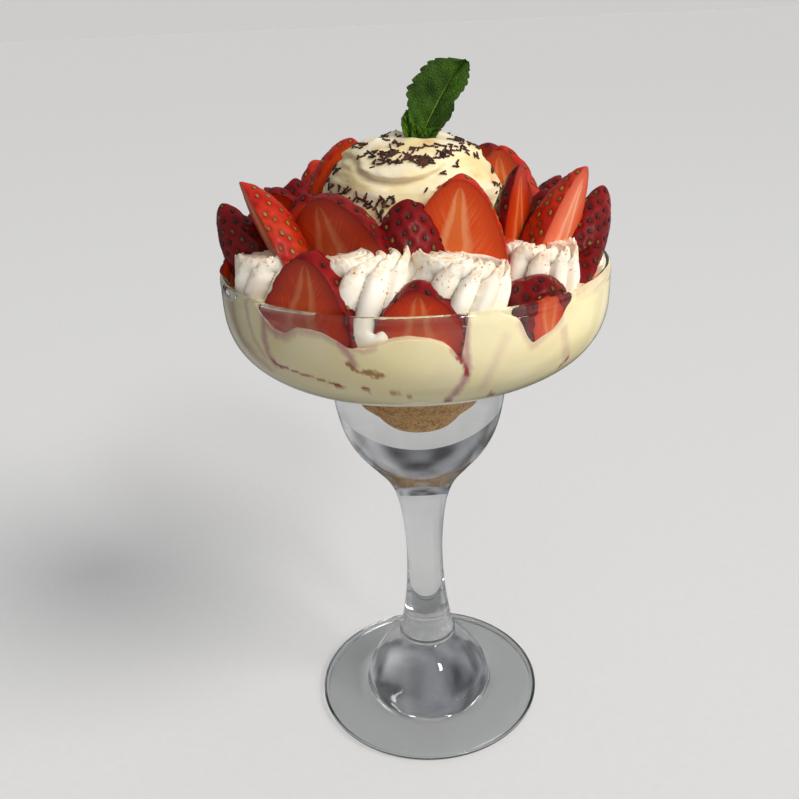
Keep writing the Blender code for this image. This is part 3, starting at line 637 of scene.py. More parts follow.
def make_cream():
    """Custard cream, which reaches just into the wall; its edge and its stains follow the tables above."""
    floor = BOWL_CENTRE - BOWL_DEPTH + FLOOR
    radius = BOWL_RADIUS - WALL + INTO_WALL
    arc = [place for place in bowl_arc(radius, BOWL_DEPTH - FLOOR + INTO_WALL, 21, 20) if place[1] < SIDE_FOOT]
    side = arc[::-1]
    rows = 20
    side += [(radius, SIDE_FOOT + (CREAM_TOP - SIDE_FOOT) * row / rows) for row in range(rows + 1)]
    top = [(reach, CREAM_TOP) for reach in (54.6, 53.4, 52, 50.3, 48.5, 46.5, 44, 41, 37, 31, 22, 0)]
    bottom = [(0, floor - 0.1), (10, floor - 0.15), (17, floor - 0.2)]
    piece = turned("custard_shown", bottom + side + top, 1000)

    def edged(place):
        height, reach = place.z / MM, place.xy.length / MM
        if height <= SIDE_FOOT - 0.05:
            return place
        edge = around(CREAM_EDGE, bearing_of(place), 0.5)
        if reach > radius - 0.3:
            height = SIDE_FOOT + (height - SIDE_FOOT) * (edge - SIDE_FOOT) / (CREAM_TOP - SIDE_FOOT)
            share = (inner_radius(height) + INTO_WALL) / reach
            return Vector((place.x * share, place.y * share, height * MM))
        waves = 0.5 * noise.noise(place / (9 * MM))
        height = CREAM_TOP + (edge - CREAM_TOP) * smooth_step(38, 50, reach) + waves
        return Vector((place.x, place.y, height * MM))

    shaped(piece, edged)
    stain(piece)
    smooth(piece, 70)
    return finish(piece, "custard", set_custard(), stands_for=["custard_cream"])


def stain(piece):
    """Works out how strongly each mark on the cream's side shows at each of its corners."""
    corners = piece.data.vertices
    values = {kind: [0.0] * len(corners) for kind in ("juice", "red", "bits")}
    bearings = [bearing_of(corner.co) for corner in corners]
    around_mm = BOWL_RADIUS * math.radians(1)
    for kind, half, strength, line in MARKS:
        low = min(bearing for bearing, _ in line) - 5
        high = max(bearing for bearing, _ in line) + 5
        reach = half * (1.0 if kind in ("red", "bits") else 1.5)
        for index, corner in enumerate(corners):
            if not low < bearings[index] < high:
                continue
            here = Vector((bearings[index] * around_mm, corner.co.z / MM))
            gap = min(
                (here - nearest(here, Vector((a * around_mm, h)), Vector((b * around_mm, k)))).length
                for (a, h), (b, k) in zip(line, line[1:])
            )
            if gap > reach * 1.6:
                continue
            rough = 0.35 * half * noise.noise(corner.co / (1.1 * MM))
            if kind in ("red", "bits"):
                rough *= 2.4
            soft = 0.45 if kind in ("red", "bits") else 0.0
            share = strength * (1 - smooth_step(reach * soft, reach, gap + rough))
            values[kind][index] = max(values[kind][index], share)
    for kind, found in values.items():
        attribute(piece, kind, found)


def nearest(here, start, end):
    """The point nearest to here on the straight line from start to end."""
    way = end - start
    share = min(1, max(0, (here - start).dot(way) / way.length_squared))
    return start + way * share


# ---------------------------------------------------------------- strawberries

SHOULDER = 0.34
TAPER = 0.62
SEED_SPACING = 3.3
BERRY_SIDES = 96
PIT_DEPTH = 0.6
PIT_RADIUS = 1.2


def berry_radius(along, width):
    """Half width of a berry at a share of its length, from its shoulders at 0 to its tip at 1."""
    if along <= 0 or along >= 1:
        return 0
    widest = SHOULDER / (SHOULDER + TAPER)
    return width / 2 * (along / widest) ** SHOULDER * ((1 - along) / (1 - widest)) ** TAPER


def on_berry(turn, along, length, width):
    """A place on a berry's skin, in mm."""
    radius = berry_radius(along, width) * (1 + 0.03 * math.cos(3 * turn + 1))
    return Vector((radius * math.cos(turn), radius * math.sin(turn), along * length))


def slab(middle, thickness):
    """The two cuts that leave a flat slice: its faces look along -Y and +Y of the berry."""
    return [(-1, thickness / 2 + middle, 0.45, 0), (1, thickness / 2 - middle, 0.45, 0)]


def cap(offset, share=0.45, slant=0):
    """The one cut that leaves a berry's outer piece, with its skin towards -Y of the berry. A slanting cut goes
    through the offset at a share of the length."""
    return [(1, -offset, share, slant)]


def plane_of(cut, length):
    """The place and direction, in mm, of the plane of a cut."""
    side, offset, share, slant = cut
    angle = math.radians(slant)
    return Vector((0, side * offset, share * length)), Vector((0, side * math.cos(angle), math.sin(angle)))


# Each berry piece: bearing, distance of its lower end from the axis and height of that end, lean outwards and
# sideways, turn about its own length, length and width of its berry, its cuts, and the tones of skin and flesh
BERRIES = {
    "slice_rim_left": (-34, 48.6, 139.6, 3, 7, -2, 35, 29.5, slab(1.0, 5.0), "ripe", "deep"),
    "slice_rim_front": (1, 45.6, 135.0, 8, 0, -6, 32.5, 27.5, slab(1.0, 5.0), "ripe", "deep"),
    "slice_rim_right": (38, 47.0, 163.5, 24, 184, 184, 19.5, 17.5, cap(-3.4, 0.72, 40), "ripe", "bright"),
    "slice_rim_far_right": (56, 50.0, 146.6, 4, 38, -142, 25, 15, cap(0), "ripe", "pale"),
    "slice_rim_far_left": (-65, 50.5, 144.1, 5, -24, -66, 25, 15, cap(0), "ripe", "deep"),
    "slice_rim_back_right": (99, 48.4, 138.4, 5, 4, 0, 36, 29, slab(1.0, 5.0), "ripe", "bright"),
    "slice_rim_back_corner": (131, 48.6, 141, 4, 5, -8, 31, 25, slab(1.0, 4.5), "ripe", "deep"),
    "slice_rim_back_middle": (166, 48.0, 138, 5, -4, 4, 37, 30, slab(1.0, 5.0), "bright", "bright"),
    "slice_rim_back_left": (-116, 48.4, 139, 4, 3, 0, 36, 30, slab(1.0, 5.0), "ripe", "bright"),
    "slice_rim_back_edge": (-156, 48.6, 141, 4, 3, 5, 32, 26, slab(1.0, 4.5), "bright", "deep"),
    "slice_front": (14.5, 35.6, 146.6, -5, 7, -24, 43, 28.5, slab(0.5, 5.0), "bright", "bright"),
    "slice_left": (-26, 34.8, 150.2, -1, -15, -10, 36, 36, slab(0.5, 5.0), "ripe", "deep"),
    "half_right": (50, 42.5, 149.6, 6, 25, -172, 42, 23, cap(0), "bright", "pale"),
    "half_left": (-51, 41.7, 153.8, 10, -22, 158, 37, 22, cap(0), "bright", "pale"),
    "half_middle_right": (47.5, 36.9, 152.0, -1, 5, -170, 38, 18, cap(0), "ripe", "deep"),
    "half_dark_middle": (-4, 30.0, 156.6, -5, 3, 4, 28, 22, cap(3.0), "ripe", "deep"),
    "half_far_left": (-67, 41.0, 152.5, 21, -27, 35, 33, 16.5, cap(0), "ripe", "deep"),
    "half_dark_right": (68, 45.6, 155.2, 12, 36, -52, 31, 13.5, cap(0), "ripe", "deep"),
    "half_behind_right": (72, 38.0, 154.0, 1, 3, -60, 27, 19, cap(0), "ripe", "deep"),
    "slice_small_left": (-57, 31.8, 156.0, 6, 1, 60, 28, 19, slab(0.5, 4.0), "ripe", "deep"),
    "slice_behind_left": (-66, 33.0, 154.6, 12, -12, 40, 31, 25, slab(0.5, 4.5), "ripe", "deep"),
    "half_dark_left": (-84, 30.8, 158.1, 4, 12, 60, 29, 20, cap(0), "ripe", "deep"),
    "slice_back_left": (-121, 30.6, 156.7, -12, -6, -35, 38, 24, slab(0.5, 5.0), "bright", "bright"),
    "slice_back_right": (99, 29.8, 153.9, -4, 5, 50, 37, 24, slab(0.5, 5.0), "bright", "bright"),
    "half_back_right": (106, 42.6, 153.7, 12, 6, 176, 27, 22, cap(0), "ripe", "bright"),
    "slice_back_corner": (134, 31.0, 156.0, 0, -4, -10, 34, 30, slab(0.5, 5.0), "ripe", "bright"),
    "half_back_corner": (141, 42.6, 153.8, 17, 6, 160, 32, 22, cap(0), "bright", "pale"),
    "slice_back": (167, 31.0, 155.5, 1, 5, 8, 36, 31, slab(0.5, 5.0), "ripe", "deep"),
    "half_back": (178, 42.2, 153.8, 18, -6, -168, 33, 23, cap(0), "ripe", "deep"),
    "slice_back_edge": (-159, 31.0, 156.0, 0, -5, -8, 34, 29, slab(0.5, 5.0), "bright", "bright"),
    "half_back_edge": (-146, 42.0, 153.8, 17, 8, 170, 32, 23, cap(0), "bright", "bright"),
    "half_back_left": (-108, 41.4, 153.8, 14, -2, 200, 27, 22, cap(0), "ripe", "pale"),
}
RINGS = 14  # rings of faces that close a cut


def seed_places(length, width):
    """Turns and shares of length of a berry's seeds, on a spiral as even as a pine cone's, in a little disorder."""
    steps = 60
    rings = [berry_radius((step + 0.5) / steps, width) for step in range(steps)]
    area = [0.0]
    for radius in rings:
        area.append(area[-1] + math.tau * radius * length / steps)
    count = int(area[-1] / SEED_SPACING**2)
    places = []
    for seed in range(count):
        wanted = area[-1] * (seed + 0.5) / count
        step = next(i for i in range(steps) if area[i + 1] >= wanted)
        along = (step + (wanted - area[step]) / (area[step + 1] - area[step])) / steps
        jitter = chance.uniform(-0.012, 0.012)
        places.append((seed * math.radians(137.508) + chance.uniform(-0.06, 0.06), min(0.985, along + jitter)))
    return places


def cut_through(piece, place, out):
    """Cuts a berry, throws away what is past the cut and closes it with rings of faces."""
    select_all_of(piece)
    bpy.ops.mesh.bisect(plane_co=place * MM, plane_no=out, use_fill=True, clear_outer=True, threshold=0.0001 * MM)
    shares = [1.0, 0.985] + [0.985 * (1 - ring / RINGS) for ring in range(1, RINGS)]
    for before, share in zip(shares, shares[1:]):
        bpy.ops.mesh.extrude_region_move()
        by = share / before
        bpy.ops.transform.resize(value=(by, by, by), center_override=place * MM)
    bpy.ops.object.mode_set(mode="OBJECT")


def make_berry(name, skins, fleshes):
    """One berry piece, with a pit for each seed, cut and stood in its place. Gives its seeds' places."""
    *stand, length, width, cuts, skin_tone, flesh_tone = BERRIES[name]
    bpy.ops.object.select_all(action="DESELECT")
    bpy.ops.mesh.primitive_uv_sphere_add(segments=BERRY_SIDES, ring_count=BERRY_SIDES // 2, radius=1)
    piece = bpy.context.object
    piece.name = name + "_shown"
    seeds = seed_places(length, width)
    tree = KDTree(len(seeds))
    for index, (turn, along) in enumerate(seeds):
        tree.insert(on_berry(turn, along, length, width), index)
    tree.balance()

    def pitted(place):
        turn = math.atan2(place.y, place.x) + math.pi / BERRY_SIDES  # so that no cut runs along a row of corners
        place = on_berry(turn, 0.5 + 0.5 * place.z, length, width)
        gap = tree.find(place)[2]
        inwards = Vector((place.x, place.y, (place.z / length - 0.4) * width * 0.6)).normalized()
        depth = PIT_DEPTH * math.exp(-((gap / PIT_RADIUS) ** 2))
        return (place - inwards * depth) * MM

    shaped(piece, pitted)
    planes = [plane_of(cut, length) for cut in cuts]
    for middle, out in planes:
        cut_through(piece, middle, out)
    mesh = piece.data
    pit_shades = []
    depths = []
    for corner in mesh.vertices:
        place = corner.co / MM
        along = min(0.999, max(0.001, place.z / length))
        skin = on_berry(math.atan2(place.y, place.x), along, length, width).xy.length
        depths.append(max(0.0, min(skin - place.xy.length - 0.15, (length - place.z) * 0.7)) / 10)
        # nearness to a seed's hollow, where the skin's colour holds painted shade
        pit_shades.append(math.exp(-((tree.find(place)[2] / PIT_RADIUS) ** 2)))
    attribute(piece, "pit", pit_shades)
    attribute(piece, "depth", depths)
    flat = mesh.uv_layers.active or mesh.uv_layers.new()
    flat.name = "along_berry"
    for face in mesh.polygons:
        cut = any(face.normal.dot(out) > 0.999 and abs((face.center / MM - middle).dot(out)) < 0.01
                  for middle, out in planes)
        face.material_index = 1 if cut else 0
        for loop in face.loop_indices:
            place = mesh.vertices[mesh.loops[loop].vertex_index].co / MM
            flat.data[loop].uv = (0.5 + place.x / width, place.z / length)
    stood = standing(*stand)
    mesh.transform(stood)
    pressed = RIM_HEIGHT + 4 if "rim" in name else 0
    shaped(piece, lambda place: against_glass(place, pressed))
    smooth(piece, 35)
    # place of each seed that the cuts leave, lying in its pit with its long side towards the tip
    found = []
    for turn, along in seeds:
        place = on_berry(turn, along, length, width)
        if any((place - middle).dot(out) > -0.5 for middle, out in planes):
            continue
        ahead = on_berry(turn, min(0.995, along + 0.02), length, width)
        behind = on_berry(turn, max(0.005, along - 0.02), length, width)
        up = (ahead - behind).normalized()
        beside = Vector((-math.sin(turn), math.cos(turn), 0))
        normal = beside.cross(up).normalized()
        centre = against_glass(stood @ ((place - normal * (PIT_DEPTH * 0.6)) * MM), pressed)
        if centre.z < 146 * MM:
            continue
        axes = Matrix((beside, normal, up)).transposed().to_4x4()
        size = chance.uniform(0.85, 1.1)
        lain = Matrix.Translation(centre) @ stood.to_3x3().to_4x4() @ axes @ Matrix.Scale(size, 4)
        found.append((lain, 0.3 if skin_tone == "bright" else chance.choice((-0.1, -0.1, 0.0, 0.2))))
    finish(piece, "berry", skins[skin_tone], fleshes[flesh_tone], stands_for=[name])
    return found


def make_seeds(found):
    """All the seeds of the strawberries, 1.4 mm long."""
    bpy.ops.object.select_all(action="DESELECT")
    bpy.ops.mesh.primitive_uv_sphere_add(segments=6, ring_count=5, radius=0.72 * MM)
    shape = bpy.context.object
    select_all_of(shape)
    bpy.ops.transform.resize(value=(0.64, 0.42, 1.0), center_override=(0, 0, 0))
    bpy.ops.object.mode_set(mode="OBJECT")
    places = [place for place, _ in found]
    piece = scattered("strawberry_seeds", shape, places, "ripeness", [ripeness for _, ripeness in found])
    return finish(piece, "berry", strawberry_seed())


# ---------------------------------------------------------------- whipped cream

# Each rosette: bearing, distance from the axis, radius, height, how far its ridges turn up its side and over its
# crown in degrees, lean outwards and sideways
ROSETTES = {
    "rosette_left": (-58, 41.5, 14.6, 16.0, 42, 110, 0, -6),
    "rosette_middle_left": (-16, 40.6, 14.4, 19.0, 46, 100, -4, -8),
    "rosette_middle_right": (14, 41.5, 13.8, 17.5, 34, 110, -3, 8),
    "rosette_right": (49, 42.5, 11.8, 17.0, 8, 70, 0, 6),
    "rosette_far_right": (82, 42.5, 13.2, 15.0, 20, 90, 0, 0),
    "rosette_back_right": (112, 41.5, 14.0, 17.0, 35, 90, 0, 4),
    "rosette_back_middle": (146, 41.5, 14.6, 18.0, -28, -100, 0, -4),
    "rosette_back": (180, 41.5, 14.2, 16.5, 38, 80, 0, 5),
    "rosette_back_left": (-145, 41.5, 14.6, 18.0, 30, 100, 0, -5),
    "rosette_far_left": (-100, 41.5, 14.4, 17.0, 40, 90, 0, 0),
}
RIDGES = 11
RIDGE_DEPTH = 0.24  # as a share of the radius
SWIRL = (
    (0, -0.25), (0.5, -0.25), (0.8, -0.2), (0.9, 0.0), (0.97, 0.2), (1.0, 0.4), (0.98, 0.58), (0.92, 0.74),
    (0.82, 0.86), (0.66, 0.93), (0.46, 0.95), (0.26, 0.95), (0.1, 0.97), (0, 1.0),
)


def make_rosette(name, cream):
    """A piped swirl: a soft cup, pushed into leaning folds that end in small torn peaks round its crown."""
    bearing, distance, radius, height, side_twist, crown_twist, lean, sideways = ROSETTES[name]
    line = [(out * radius, up * height) for out, up in smooth_line(SWIRL, 7)]
    piece = turned(name + "_shown", line, RIDGES * 16)
    seed = Vector((bearing, side_twist, height))
    tips = []

    def folded(place):
        reach = place.xy.length / (radius * MM)
        if reach < 0.001:
            tips.append(0.2)
            return place
        up = place.z / (height * MM)
        turn = math.atan2(place.y, place.x)
        round_it = Vector((math.cos(turn), math.sin(turn), 0))
        crown = smooth_step(0.68, 0.92, up)
        drift = 7 * noise.noise(round_it * 1.3 + seed + Vector((0, 0, up * 0.7)))
        twist = side_twist * up + crown_twist * crown * (1 - reach) + drift
        ridge = RIDGES * (turn - math.radians(twist)) / math.tau
        phase, number = ridge % 1, ridge // 1 % RIDGES
        if side_twist < 0:
            phase = 1 - phase
        fold = (1 - abs(2 * phase**0.62 - 1) ** 2.2) ** 0.75
        own = noise.noise(Vector((number * 3.7, 1.5, 5.5)) + seed)
        deep = RIDGE_DEPTH * (1 + 0.6 * own) * (1 - fold)
        deep *= smooth_step(-0.15, 0.15, up) * smooth_step(0.05, 0.5, reach)
        soft = 0.04 * noise.noise(place / (8 * MM) + seed) + 0.01 * noise.noise(place / (2.2 * MM) + seed)
        share = 1 - deep * (1 - crown) + soft
        edge = math.exp(-(((reach - 0.87) / 0.13) ** 2)) * smooth_step(0.62, 0.82, up)
        torn = 1 + 0.5 * noise.noise(place / (0.9 * MM) + seed)
        peak = edge * (fold**1.5 * (2.3 + 2.2 * own) * torn - 0.8)
        tips.append(min(1.0, smooth_step(0.25, 0.85, up) * (0.3 + 0.8 * fold**2)))
        lift = peak - deep * radius * crown
        return Vector((place.x * share, place.y * share, place.z + lift * MM))

    shaped(piece, folded)
    attribute(piece, "tip", tips)
    piece.data.transform(standing(bearing, distance, CREAM_TOP, lean, sideways))
    shaped(piece, lambda place: against_glass(place, RIM_HEIGHT - 1))
    smooth(piece, 80)
    return finish(piece, "whipped", cream, stands_for=[name])


def make_dust(rosettes):
    """Biscuit dust on the upper sides of the rosettes, in drifts."""
    bpy.ops.object.select_all(action="DESELECT")
    bpy.ops.mesh.primitive_ico_sphere_add(subdivisions=1, radius=0.24 * MM)
    shape = bpy.context.object
    shaped(shape, lambda place: place * (1 + 0.6 * noise.noise(place / (0.3 * MM))))
    places = []
    for rosette in rosettes:
        faces = [face for face in rosette.data.polygons if face.normal.z > -0.1 and face.center.z > 157 * MM]
        for face in chance.choices(faces, weights=[face.area for face in faces], k=420):
            drift = noise.noise(face.center / (6 * MM)) + 0.02 * (face.center.z / MM - 168)
            if drift + chance.uniform(-0.2, 0.2) < 0.12:
                continue
            turn = Matrix.Rotation(chance.uniform(0, math.tau), 4, Vector((chance.random(), chance.random(), 1)))
            size = Matrix.Diagonal((chance.uniform(0.4, 1.7), chance.uniform(0.4, 1.2), chance.uniform(0.3, 1), 1))
            places.append(Matrix.Translation(face.center) @ turn @ size)
    piece = scattered("biscuit_dust", shape, places)
    return finish(piece, "crumb", toasted_dust())


# ---------------------------------------------------------------- the ice cream and what is on it

# Height of the upper scoop's lip, once round, and how far it hangs over the lower scoop
LIP = (
    (-180, 190.2), (-140, 188.8), (-100, 190.5), (-75, 191.8), (-56, 191.5), (-44, 189.2), (-31, 187.6),
    (-22, 187.2), (-13, 186.8), (-6, 186.9), (3, 187.2), (10, 187.7), (17, 188.4), (25, 190.0), (31, 190.8),
    (60, 191.0), (100, 189.5), (140, 188.6),
)
OVERHANG = ((-180, 0.9), (-100, 0.7), (-75, 0.8), (-50, 1.0), (10, 1.0), (30, 0.25), (60, 0.1), (90, 0.6), (140, 0.9))
MOUND = (
    (0, 151), (24, 151), (27.2, 153), (28.1, 158), (28.5, 164), (28.0, 169.5), (27.0, 175), (25.6, 180),
    (24.0, 183.6), (22.5, 186), (21.3, 187.8), (20.2, 189.4), (18.6, 191.0), (15.6, 192.8), (11.8, 194.0),
    (7.0, 194.7), (3, 195.0), (0, 195.0),
)
# Swells and hollows on the top, seen from above: place to the right and back, height and width in mm
LUMPS = (
    (-9.5, -3.0, 1.1, 2.6), (-4.0, 3.5, 1.6, 3.0), (-12.0, 3.0, 0.9, 3.0), (8.5, 5.5, 1.5, 3.6), (2.6, 1.0, -1.9, 3.4),
    (0.5, -7.5, 0.8, 3.2), (6.5, -6.5, 0.5, 2.4), (-6.0, -8.5, -0.5, 2.0), (2.0, 10.0, 0.9, 4.0),
)
SYRUP = (
    (20.5, -8.0, 183.0, 3.0, 0.85), (16.8, -13.0, 185.5, 2.2, 0.7), (14.0, -15.0, 183.5, 1.6, 0.5),
    (5.5, -9.0, 193.0, 2.4, 0.6), (-9.0, -9.0, 193.0, 2.6, 0.35), (-24.0, -6.0, 183.5, 2.0, 0.4),
    (-12.0, 20.0, 184.0, 3.0, 0.5),
)


def make_mound(ice_cream):
    """The scoop: a soft round with a second one spread on it, whose lip hangs over at the height given round it,
    and a hollow at the top for the mint."""
    piece = turned("ice_cream_shown", smooth_line(MOUND, 7), 200)

    def spread(place):
        height, reach = place.z / MM, place.xy.length / MM
        bearing = bearing_of(place)
        angle = math.radians(bearing)
        above = height - around(LIP, bearing, 4)
        fold = -1.6 * math.exp(-(((above + 1.2) / 0.9) ** 2)) + 0.8 * math.exp(-(((above - 0.9) / 1.3) ** 2))
        flow = Vector((place.x, place.y, place.z * 2))
        bulge = 0.7 * noise.noise(flow / (15 * MM)) + 0.35 * noise.noise(flow / (6 * MM))
        bulge += 0.14 * noise.noise(flow / (2.5 * MM))
        streak = 0.35 * noise.noise(Vector((angle * 1.2, height * 0.9 + angle, 3)))
        grown = reach + around(OVERHANG, bearing, 4) * fold + bulge + streak * smooth_step(4, 14, reach)
        grown *= 1 + 0.015 * math.sin(2 * angle) + 0.012 * math.cos(3 * angle)
        lift = 0.5 * bulge
        if height > 190:
            for right, back, tall, wide in LUMPS:
                gap = math.hypot(place.x / MM - right, place.y / MM - back)
                lift += tall * math.exp(-((gap / wide) ** 2))
        share = max(0.2, grown / reach) if reach > 1 else 1
        return Vector((place.x * share, place.y * share, (height + lift) * MM))

    shaped(piece, spread)
    values = []
    for corner in piece.data.vertices:
        most = 0.0
        for right, back, height, size, strength in SYRUP:
            gap = (corner.co / MM - Vector((right, back, height))).length + 1.6 * noise.noise(corner.co / (2 * MM))
            most = max(most, strength * (1 - smooth_step(size * 0.1, size * 1.3, gap)))
        values.append(most)
    attribute(piece, "syrup", values)
    smooth(piece, 80)
    return finish(piece, "ice_cream", ice_cream, stands_for=["ice_cream_mound"])


# Where the sprinkles lie: bearing, way up the surface, spread in mm along and up, and how many. The way up is
# the height on the scoop's side, and grows further by the way in towards the axis on its top.
DRIFTS = (
    (-76, 207, 2.6, 2.0, 10), (-117, 214.5, 3.0, 1.5, 10), (-96, 219, 2.0, 1.2, 3), (-34, 213, 2.6, 1.4, 6),
    (-14, 209.5, 2.4, 1.2, 5), (-46, 204.6, 2.0, 1.2, 6), (-30, 204.5, 2.0, 1.1, 8), (-18, 204.5, 2.0, 1.1, 12),
    (-6, 203.3, 2.0, 1.2, 14), (3, 201.7, 2.0, 1.3, 14), (9, 199.4, 1.6, 1.0, 12), (15, 200, 1.5, 1.0, 8),
    (-21, 201, 2.0, 0.9, 10), (-12, 200, 1.8, 0.9, 8), (-27, 199, 1.6, 1.0, 4), (-48, 201, 1.2, 0.8, 2),
    (4, 198, 1.8, 0.9, 5), (10, 207, 1.8, 1.0, 4), (27, 208, 2.0, 1.2, 5), (28, 202.7, 1.8, 1.0, 8),
    (33, 201.4, 1.8, 1.0, 8), (43, 205, 2.2, 1.4, 8), (73, 208, 2.6, 1.6, 7), (60, 203, 2.4, 1.2, 8),
    (64, 199, 2.0, 1.2, 5), (83, 202.7, 2.4, 1.6, 6), (37, 197, 1.2, 1.0, 3), (22, 194, 1.0, 1.0, 2),
    (-79, 188, 2.4, 1.4, 5), (-66, 188, 2.6, 1.3, 8), (-82, 194, 1.8, 1.4, 4), (-50, 187.4, 2.0, 1.1, 5),
    (-40, 185.4, 2.0, 1.0, 5), (-28, 184.5, 2.2, 0.9, 11), (-16, 184.4, 2.0, 0.9, 10), (-20, 181, 1.6, 1.2, 7),
    (12, 188.5, 3.5, 1.6, 4), (78, 190.7, 2.0, 1.2, 4), (71, 185, 1.8, 1.2, 5), (78, 182, 2.4, 1.0, 8),
    (62, 179, 1.6, 1.0, 2), (120, 206, 5.0, 2.5, 16), (152, 202, 4.5, 2.0, 18), (-175, 203, 4.5, 2.0, 16),
    (-145, 206, 4.5, 2.5, 14), (120, 188, 4.0, 1.6, 8), (160, 185, 4.5, 1.5, 9), (-150, 187, 4.5, 1.6, 9),
    (-112, 190, 3.5, 1.8, 8),
)


def way_up(place):
    """How far up the scoop's surface a place is."""
    return place.z / MM + 28 - place.xy.length / MM


def make_sprinkles(mound):
    """Chocolate vermicelli, 1 to 3 mm long, lying on the ice cream as it fell."""
    bpy.ops.object.select_all(action="DESELECT")
    bpy.ops.mesh.primitive_cylinder_add(vertices=6, radius=0.31 * MM, depth=1 * MM)
    rod = bpy.context.object
    select_all_of(rod)
    bpy.ops.mesh.bevel(offset=0.1 * MM, segments=1)
    bpy.ops.object.mode_set(mode="OBJECT")
    faces = [face for face in mound.data.polygons if face.center.z > 160 * MM]
    spots = [(bearing_of(face.center), way_up(face.center), face.center.xy.length / MM) for face in faces]
    places = []
    for bearing, way, wide, tall, count in DRIFTS:
        weights = []
        for face, (its_bearing, its_way, reach) in zip(faces, spots):
            aside = math.radians((its_bearing - bearing + 180) % 360 - 180) * max(reach, 6) / wide
            weights.append(face.area * math.exp(-min(40, aside**2 + ((its_way - way) / tall) ** 2)))
        for face in chance.choices(faces, weights=weights, k=count):
            out = face.normal
            level = out.cross(Vector((0, 0, 1))).normalized()
            slope = out.cross(level)
            angle = chance.gauss(0.3, 0.8) if out.z > 0.3 else chance.gauss(1.2, 0.6)
            lie = level * math.cos(angle) + slope * math.sin(angle) + out * abs(chance.gauss(0, 0.16))
            turn = lie.to_track_quat("Z", "Y").to_matrix().to_4x4()
            long = Matrix.Diagonal((chance.uniform(0.8, 1.15), chance.uniform(0.8, 1.15), chance.uniform(1.1, 2.5), 1))
            spot = face.center + (level * chance.gauss(0, 0.7) + slope * chance.gauss(0, 0.3) + out * 0.2) * MM
            places.append(Matrix.Translation(spot) @ turn @ long)
    piece = scattered("chocolate_sprinkles", rod, places)
    return finish(piece, None, dark_chocolate())


VEINS = 9  # side veins on each half of a mint leaf
# The leaves of the mint, station by station from stem to tip: place to the right and height, in mm, of the
# midrib, of the left edge and of the right edge
BIG_LEAF = (
    (3.4, 193.0, 2.4, 193.2, 4.6, 193.0), (4.0, 195.6, 0.6, 198.0, 7.0, 195.6), (4.9, 198.2, -0.4, 201.8, 9.8, 198.0),
    (6.2, 200.6, -0.4, 204.9, 12.2, 200.8), (7.6, 203.0, -0.5, 208.0, 13.1, 204.2), (9.0, 205.4, 1.3, 210.4, 15.2, 206.5),
    (10.4, 207.6, 3.8, 213.2, 16.8, 208.9), (12.0, 209.9, 6.4, 215.1, 17.2, 211.0), (13.9, 212.2, 10.4, 215.6, 17.2, 212.8),
    (16.5, 214.4, 16.0, 214.7, 16.8, 214.2),
)
SMALL_LEAVES = (
    ((1.2, 192.5, 0.4, 192.5, 2.2, 192.5), (0.2, 195.5, -1.6, 196.4, 2.0, 195.0), (-0.4, 198.2, -2.1, 199.3, 1.4, 198.4),
     (-0.6, 200.6, -1.8, 201.0, 0.4, 200.8), (-0.5, 202.3, -0.6, 202.3, -0.3, 202.3)),
    ((2.6, 192.5, 1.6, 192.5, 3.4, 192.5), (2.2, 194.6, 0.5, 195.2, 4.0, 194.8), (1.8, 196.6, 0.9, 197.4, 3.2, 197.0),
     (1.9, 198.4, 1.7, 198.4, 2.2, 198.4)),
    ((4.2, 192.5, 3.2, 192.5, 5.2, 192.5), (5.0, 194.4, 3.4, 195.2, 6.8, 194.2), (6.2, 196.0, 4.8, 197.2, 7.9, 195.6),
     (8.6, 197.2, 8.3, 197.5, 8.8, 197.0)),
)


def make_leaf(name, stations, forward, back, teeth, fold):
    """A leaf from a grid: its midrib and edges from the stations, toothed, folded and puckered at its veins."""
    across, along = 30, 66
    line = smooth_line(stations, 12)
    bpy.ops.object.select_all(action="DESELECT")
    bpy.ops.mesh.primitive_grid_add(x_subdivisions=across, y_subdivisions=along, size=2, calc_uvs=True)
    leaf = bpy.context.object
    leaf.name = name
    leaf.data.uv_layers.active.name = "along_leaf"

    def grown(place):
        up = (place.y + 1) / 2
        step = up * (len(line) - 1)
        low = min(len(line) - 2, int(step))
        station = [a + (b - a) * (step - low) for a, b in zip(line[low], line[low + 1])]
        rib = Vector((station[0], station[1]))
        edge = Vector(station[4:6]) if place.x > 0 else Vector(station[2:4])
        away = abs(place.x)
        tooth = (up * teeth + 0.3 * noise.noise(Vector((up * 5, place.x, 1)))) % 1
        notch = 1 - 0.11 * tooth**2 * smooth_step(0.03, 0.2, up) * away**3
        spot = rib + (edge - rib) * away * notch
        vein = abs(((up - 0.22 * away) * VEINS / 2) % 1 * 2 - 1)
        pucker = 0.45 * (1 - vein) * math.sin(math.pi * min(1, away * 1.05)) - 0.35 * smooth_step(0.12, 0, away)
        curl = 0.5 * math.sin(up * 6 + place.x * 3) * away
        bend = -forward + back * up * up
        return Vector((spot.x, bend - fold * away * (1 - 0.5 * up) - pucker + curl, spot.y)) * MM

    shaped(leaf, grown)
    shell = leaf.modifiers.new("Thickness", "SOLIDIFY")
    shell.thickness = 0.35 * MM
    bpy.ops.object.modifier_apply(modifier=shell.name)
    smooth(leaf, 60)
    return leaf


